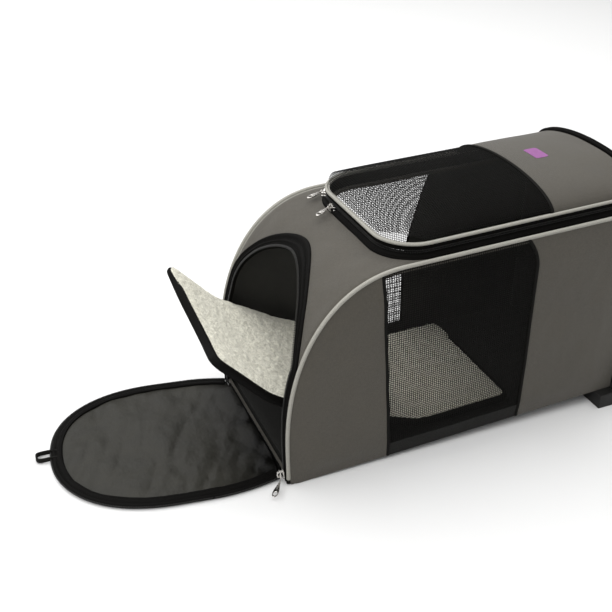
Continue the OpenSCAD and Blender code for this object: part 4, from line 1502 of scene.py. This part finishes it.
def slider_shape():
    """Two flared plates, the post between them and the bail on top."""
    out = [(-3.0, -5.5), (-1.2, -5.5), (0.0, -4.9), (1.2, -5.5), (3.0, -5.5), (3.4, -3.0),
           (3.0, 1.5), (2.0, 4.6), (1.0, 5.5), (-1.0, 5.5), (-2.0, 4.6), (-3.0, 1.5),
           (-3.4, -3.0)]
    low = plate(out, 0.2, 1.6, 0.35)
    high = plate(out, 3.6, 5.1, 0.4)
    post = plate(oval(0, 3.0, 0.9, 2.0), 1.4, 3.8, 0.1)
    arc = [(0, -3.4, 4.9), (0, -3.5, 6.0), (0, -2.6, 6.9), (0, 0, 7.2), (0, 2.2, 6.9),
           (0, 3.2, 6.0), (0, 3.1, 4.9)]
    bail = sweep(resample(arc, 0.6), (1, 0, 0), bar(1.5, 2.0, 0.35, -1.0))
    return join_parts([low, high, post, bail])


def pull_shape():
    """A drop-shaped pull with a window in its wide end and a neck ring."""
    drop, hole = [], []
    n = 40
    for i in range(n):
        a = 2 * math.pi * i / n
        x = -12.6 + 11.2 * math.cos(a)
        r = 1.7 + 2.4 * smooth(-x, 2, 19)
        drop.append((x, r * math.sin(a) / max(0.55, abs(math.sin(a)) ** 0.4 + 0.2)))
        hx = -18.6 + 2.9 * math.cos(a)
        hole.append((hx, 1.9 * math.sin(a)))
    body = plate(drop, 0.0, 1.4, 0.4, hole=hole)
    ring_pts = [(-0.8 + 1.5 * math.cos(a), 0, 0.7 + 1.5 * math.sin(a))
                for a in np.linspace(0, 2 * math.pi, 15)[:-1]]
    neck = sweep(ring_pts, (0, 1, 0), ring(0.5, 6), closed=True)
    ridge = plate(oval(-8.0, 0, 4.2, 0.7), 1.2, 1.75, 0.15)
    return join_parts([body, neck, ridge])


def spot_front(p):
    return (LID_FRONT - 0.5 + p[0], 40 + p[1], HEIGHT + 0.6 + p[2])


def spot_corner(p):
    a = math.radians(-38)
    x, y = p[0] - LID_CORNER - 0.5, p[1]
    return (LID_FRONT + LID_CORNER + x * math.cos(a) - y * math.sin(a),
            LID_HALF - LID_CORNER + x * math.sin(a) + y * math.cos(a), HEIGHT + 0.6 + p[2])


def spot_door(p):
    """The door slider stands on edge: its top faces away from the bag."""
    return (-2.9 - p[2], -95.5 + p[0], 12.5 + p[1])


def spot_door_pull(p):
    a = math.radians(52)
    return (-8.75 + p[0] * math.cos(a) - p[1] * math.sin(a),
            -99.9 + p[0] * math.sin(a) + p[1] * math.cos(a), 5.7 + p[2])


slider, pull = slider_shape(), pull_shape()
for key, spot, hang in (("front", spot_front, 34), ("corner", spot_corner, 62)):
    v, f, u, w = moved(slider, shift=(-3.1, 0, 0))
    build("slider_" + key, v, f, "slider_" + key, [zip_metal], place=lambda p, s=spot: bag(s(p)),
          uvs=u, replaces=["slider_" + key], crisp=35)
    turn = Matrix.Rotation(math.radians(hang), 3, "Z")
    v, f, u, w = moved(pull, turn, (-6.55, 0, 3.4))
    build("pull_" + key, v, f, "pull_" + key, [zip_metal], place=lambda p, s=spot: bag(s(p)),
          uvs=u, replaces=["pull_" + key], crisp=35)
v, f, u, w = slider
build("slider_door", v, f, "slider_door", [zip_metal], place=lambda p: bag(spot_door(p)),
      uvs=u, replaces=["slider_door"], crisp=35)
v, f, u, w = pull
build("pull_door", v, f, "pull_door", [zip_metal], place=lambda p: bag(spot_door_pull(p)),
      uvs=u, replaces=["pull_door"], crisp=35)


# ---- wheels and their housings -----------------------------------------------------------
WHEEL_X = LENGTH + 20
WHEEL_Z = 20.3 / COS - WHEEL_X * math.tan(LEAN)
WHEEL_Y = HALF + 12 - 6.5 - 8 - 1.5


def lathe(profile, n=64, waver=None):
    """Turns a closed (y, radius) outline about the wheel's axis."""
    rows, uvs = [], []
    for i in range(n):
        a = 2 * math.pi * i / n
        radii = [r + (waver(a, y, r) if waver else 0) for y, r in profile]
        rows.append([(q * math.cos(a), y, q * math.sin(a))
                     for q, (y, r) in zip(radii, profile)])
        uvs += [(a * 20, y + r) for y, r in profile]
    verts, faces = loft(rows, closed=True)
    return verts, faces, uvs, [0] * len(faces)


tyre = lathe([(-8, 14.1), (-8, 18.4), (-7.3, 19.5), (-6.0, 20.0), (-2.9, 20.0), (-2.5, 19.1),
              (-1.7, 19.1), (-1.3, 20.0), (1.3, 20.0), (1.7, 19.1), (2.5, 19.1), (2.9, 20.0),
              (6.0, 20.0), (7.3, 19.5), (8, 18.4), (8, 14.1)], 96,
             lambda a, y, r: -0.5 if r > 19.4 and abs(y) > 2.8 and math.cos(24 * a) > 0.55
             else 0.0)
hub = lathe([(-7.5, 13.9), (-7.5, 12.6), (-6.6, 11.9), (-4.6, 11.4), (-4.2, 6.4), (-5.6, 5.6),
             (-7.4, 5.2), (-7.5, 3.1), (7.5, 3.1), (7.4, 5.2), (5.6, 5.6), (4.2, 6.4),
             (4.6, 11.4), (6.6, 11.9), (7.5, 12.6), (7.5, 13.9)], 60)
spokes = []
for i in range(6):
    turn = Matrix.Rotation(math.radians(60 * i), 3, "Y")
    spoke = block(6.6, 12.6, 1.6, 0.3)
    spokes.append(moved(moved(spoke, shift=(8.9, 0, 0)), turn))
hub = join_parts([hub] + spokes)
for sign, end in ((-1, "near"), (1, "far")):
    def at_wheel(p, s=sign):
        return bag((WHEEL_X + p[0], s * WHEEL_Y + p[1], WHEEL_Z + p[2]))
    for key, part, finish in (("tyre", tyre, tyre_rubber), ("hub", hub, hub_plastic)):
        v, f, u, w = part
        build(key + "_" + end + "_wheel", v, f, "wheel_" + end, [finish], place=at_wheel,
              uvs=u, replaces=[key + "_" + end], crisp=35)
    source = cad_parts["housing_" + end]
    mesh = source.data.copy()
    work = bmesh.new()
    work.from_mesh(mesh)
    bmesh.ops.remove_doubles(work, verts=work.verts, dist=1e-6)
    bmesh.ops.dissolve_limit(work, angle_limit=math.radians(1.0), verts=work.verts,
                             edges=work.edges)
    work.to_mesh(mesh)
    work.free()
    mesh.materials.clear()
    mesh.materials.append(housing_plastic)
    body = bpy.data.objects.new("wheel_housing_" + end, mesh)
    bpy.context.scene.collection.objects.link(body)
    bevel = body.modifiers.new("soft_edges", "BEVEL")
    bevel.width, bevel.segments, bevel.limit_method = 0.0013, 2, "ANGLE"
    bevel.angle_limit = math.radians(35)
    mesh.polygons.foreach_set("use_smooth", [True] * len(mesh.polygons))
    mesh.set_sharp_from_angle(angle=math.radians(30))
    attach(body, "bag")
    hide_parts("housing_" + end)
    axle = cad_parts["axle_" + end]
    axle.data.materials.clear()
    axle.data.materials.append(axle_steel)


# ---- floor, light and room --------------------------------------------------
def floor_finish():
    f = Finish("floor_paint", (0.66, 0.66, 0.657), 0.6, specular=0.15, by="Object")
    f.tint(f.noise(3, 2, 0.5), (0.3, 0.995), (0.7, 1.0))
    return f.m


mesh = bpy.data.meshes.new("studio_floor")
mesh.from_pydata([(-6, -4, 0), (6, -4, 0), (6, 9, 0), (-6, 9, 0)], [], [(0, 1, 2, 3)])
mesh.materials.append(floor_finish())
studio = bpy.data.objects.new("studio_floor", mesh)
bpy.context.scene.collection.objects.link(studio)

world = bpy.data.worlds.new("room")
bpy.context.scene.world = world
world.use_nodes = True
world.node_tree.nodes["Background"].inputs["Color"].default_value = (1, 1, 1, 1)
world.node_tree.nodes["Background"].inputs["Strength"].default_value = 0.46


def softbox(name, at, aim, size, power):
    lamp = bpy.data.lights.new(name, "AREA")
    lamp.shape = "RECTANGLE"
    lamp.size, lamp.size_y = size
    lamp.energy = power
    obj = bpy.data.objects.new(name, lamp)
    obj.location = at
    obj.rotation_euler = (Vector(aim) - Vector(at)).to_track_quat("-Z", "Y").to_euler()
    bpy.context.scene.collection.objects.link(obj)


softbox("top_light", (-0.4, 0.7, 2.5), (-0.2, 0.45, 0), (5.0, 5.0), 195)
softbox("left_light", (-1.7, -0.9, 1.0), (0, 0, 0.1), (1.3, 1.1), 13)
bpy.context.scene.view_settings.view_transform = "Standard"
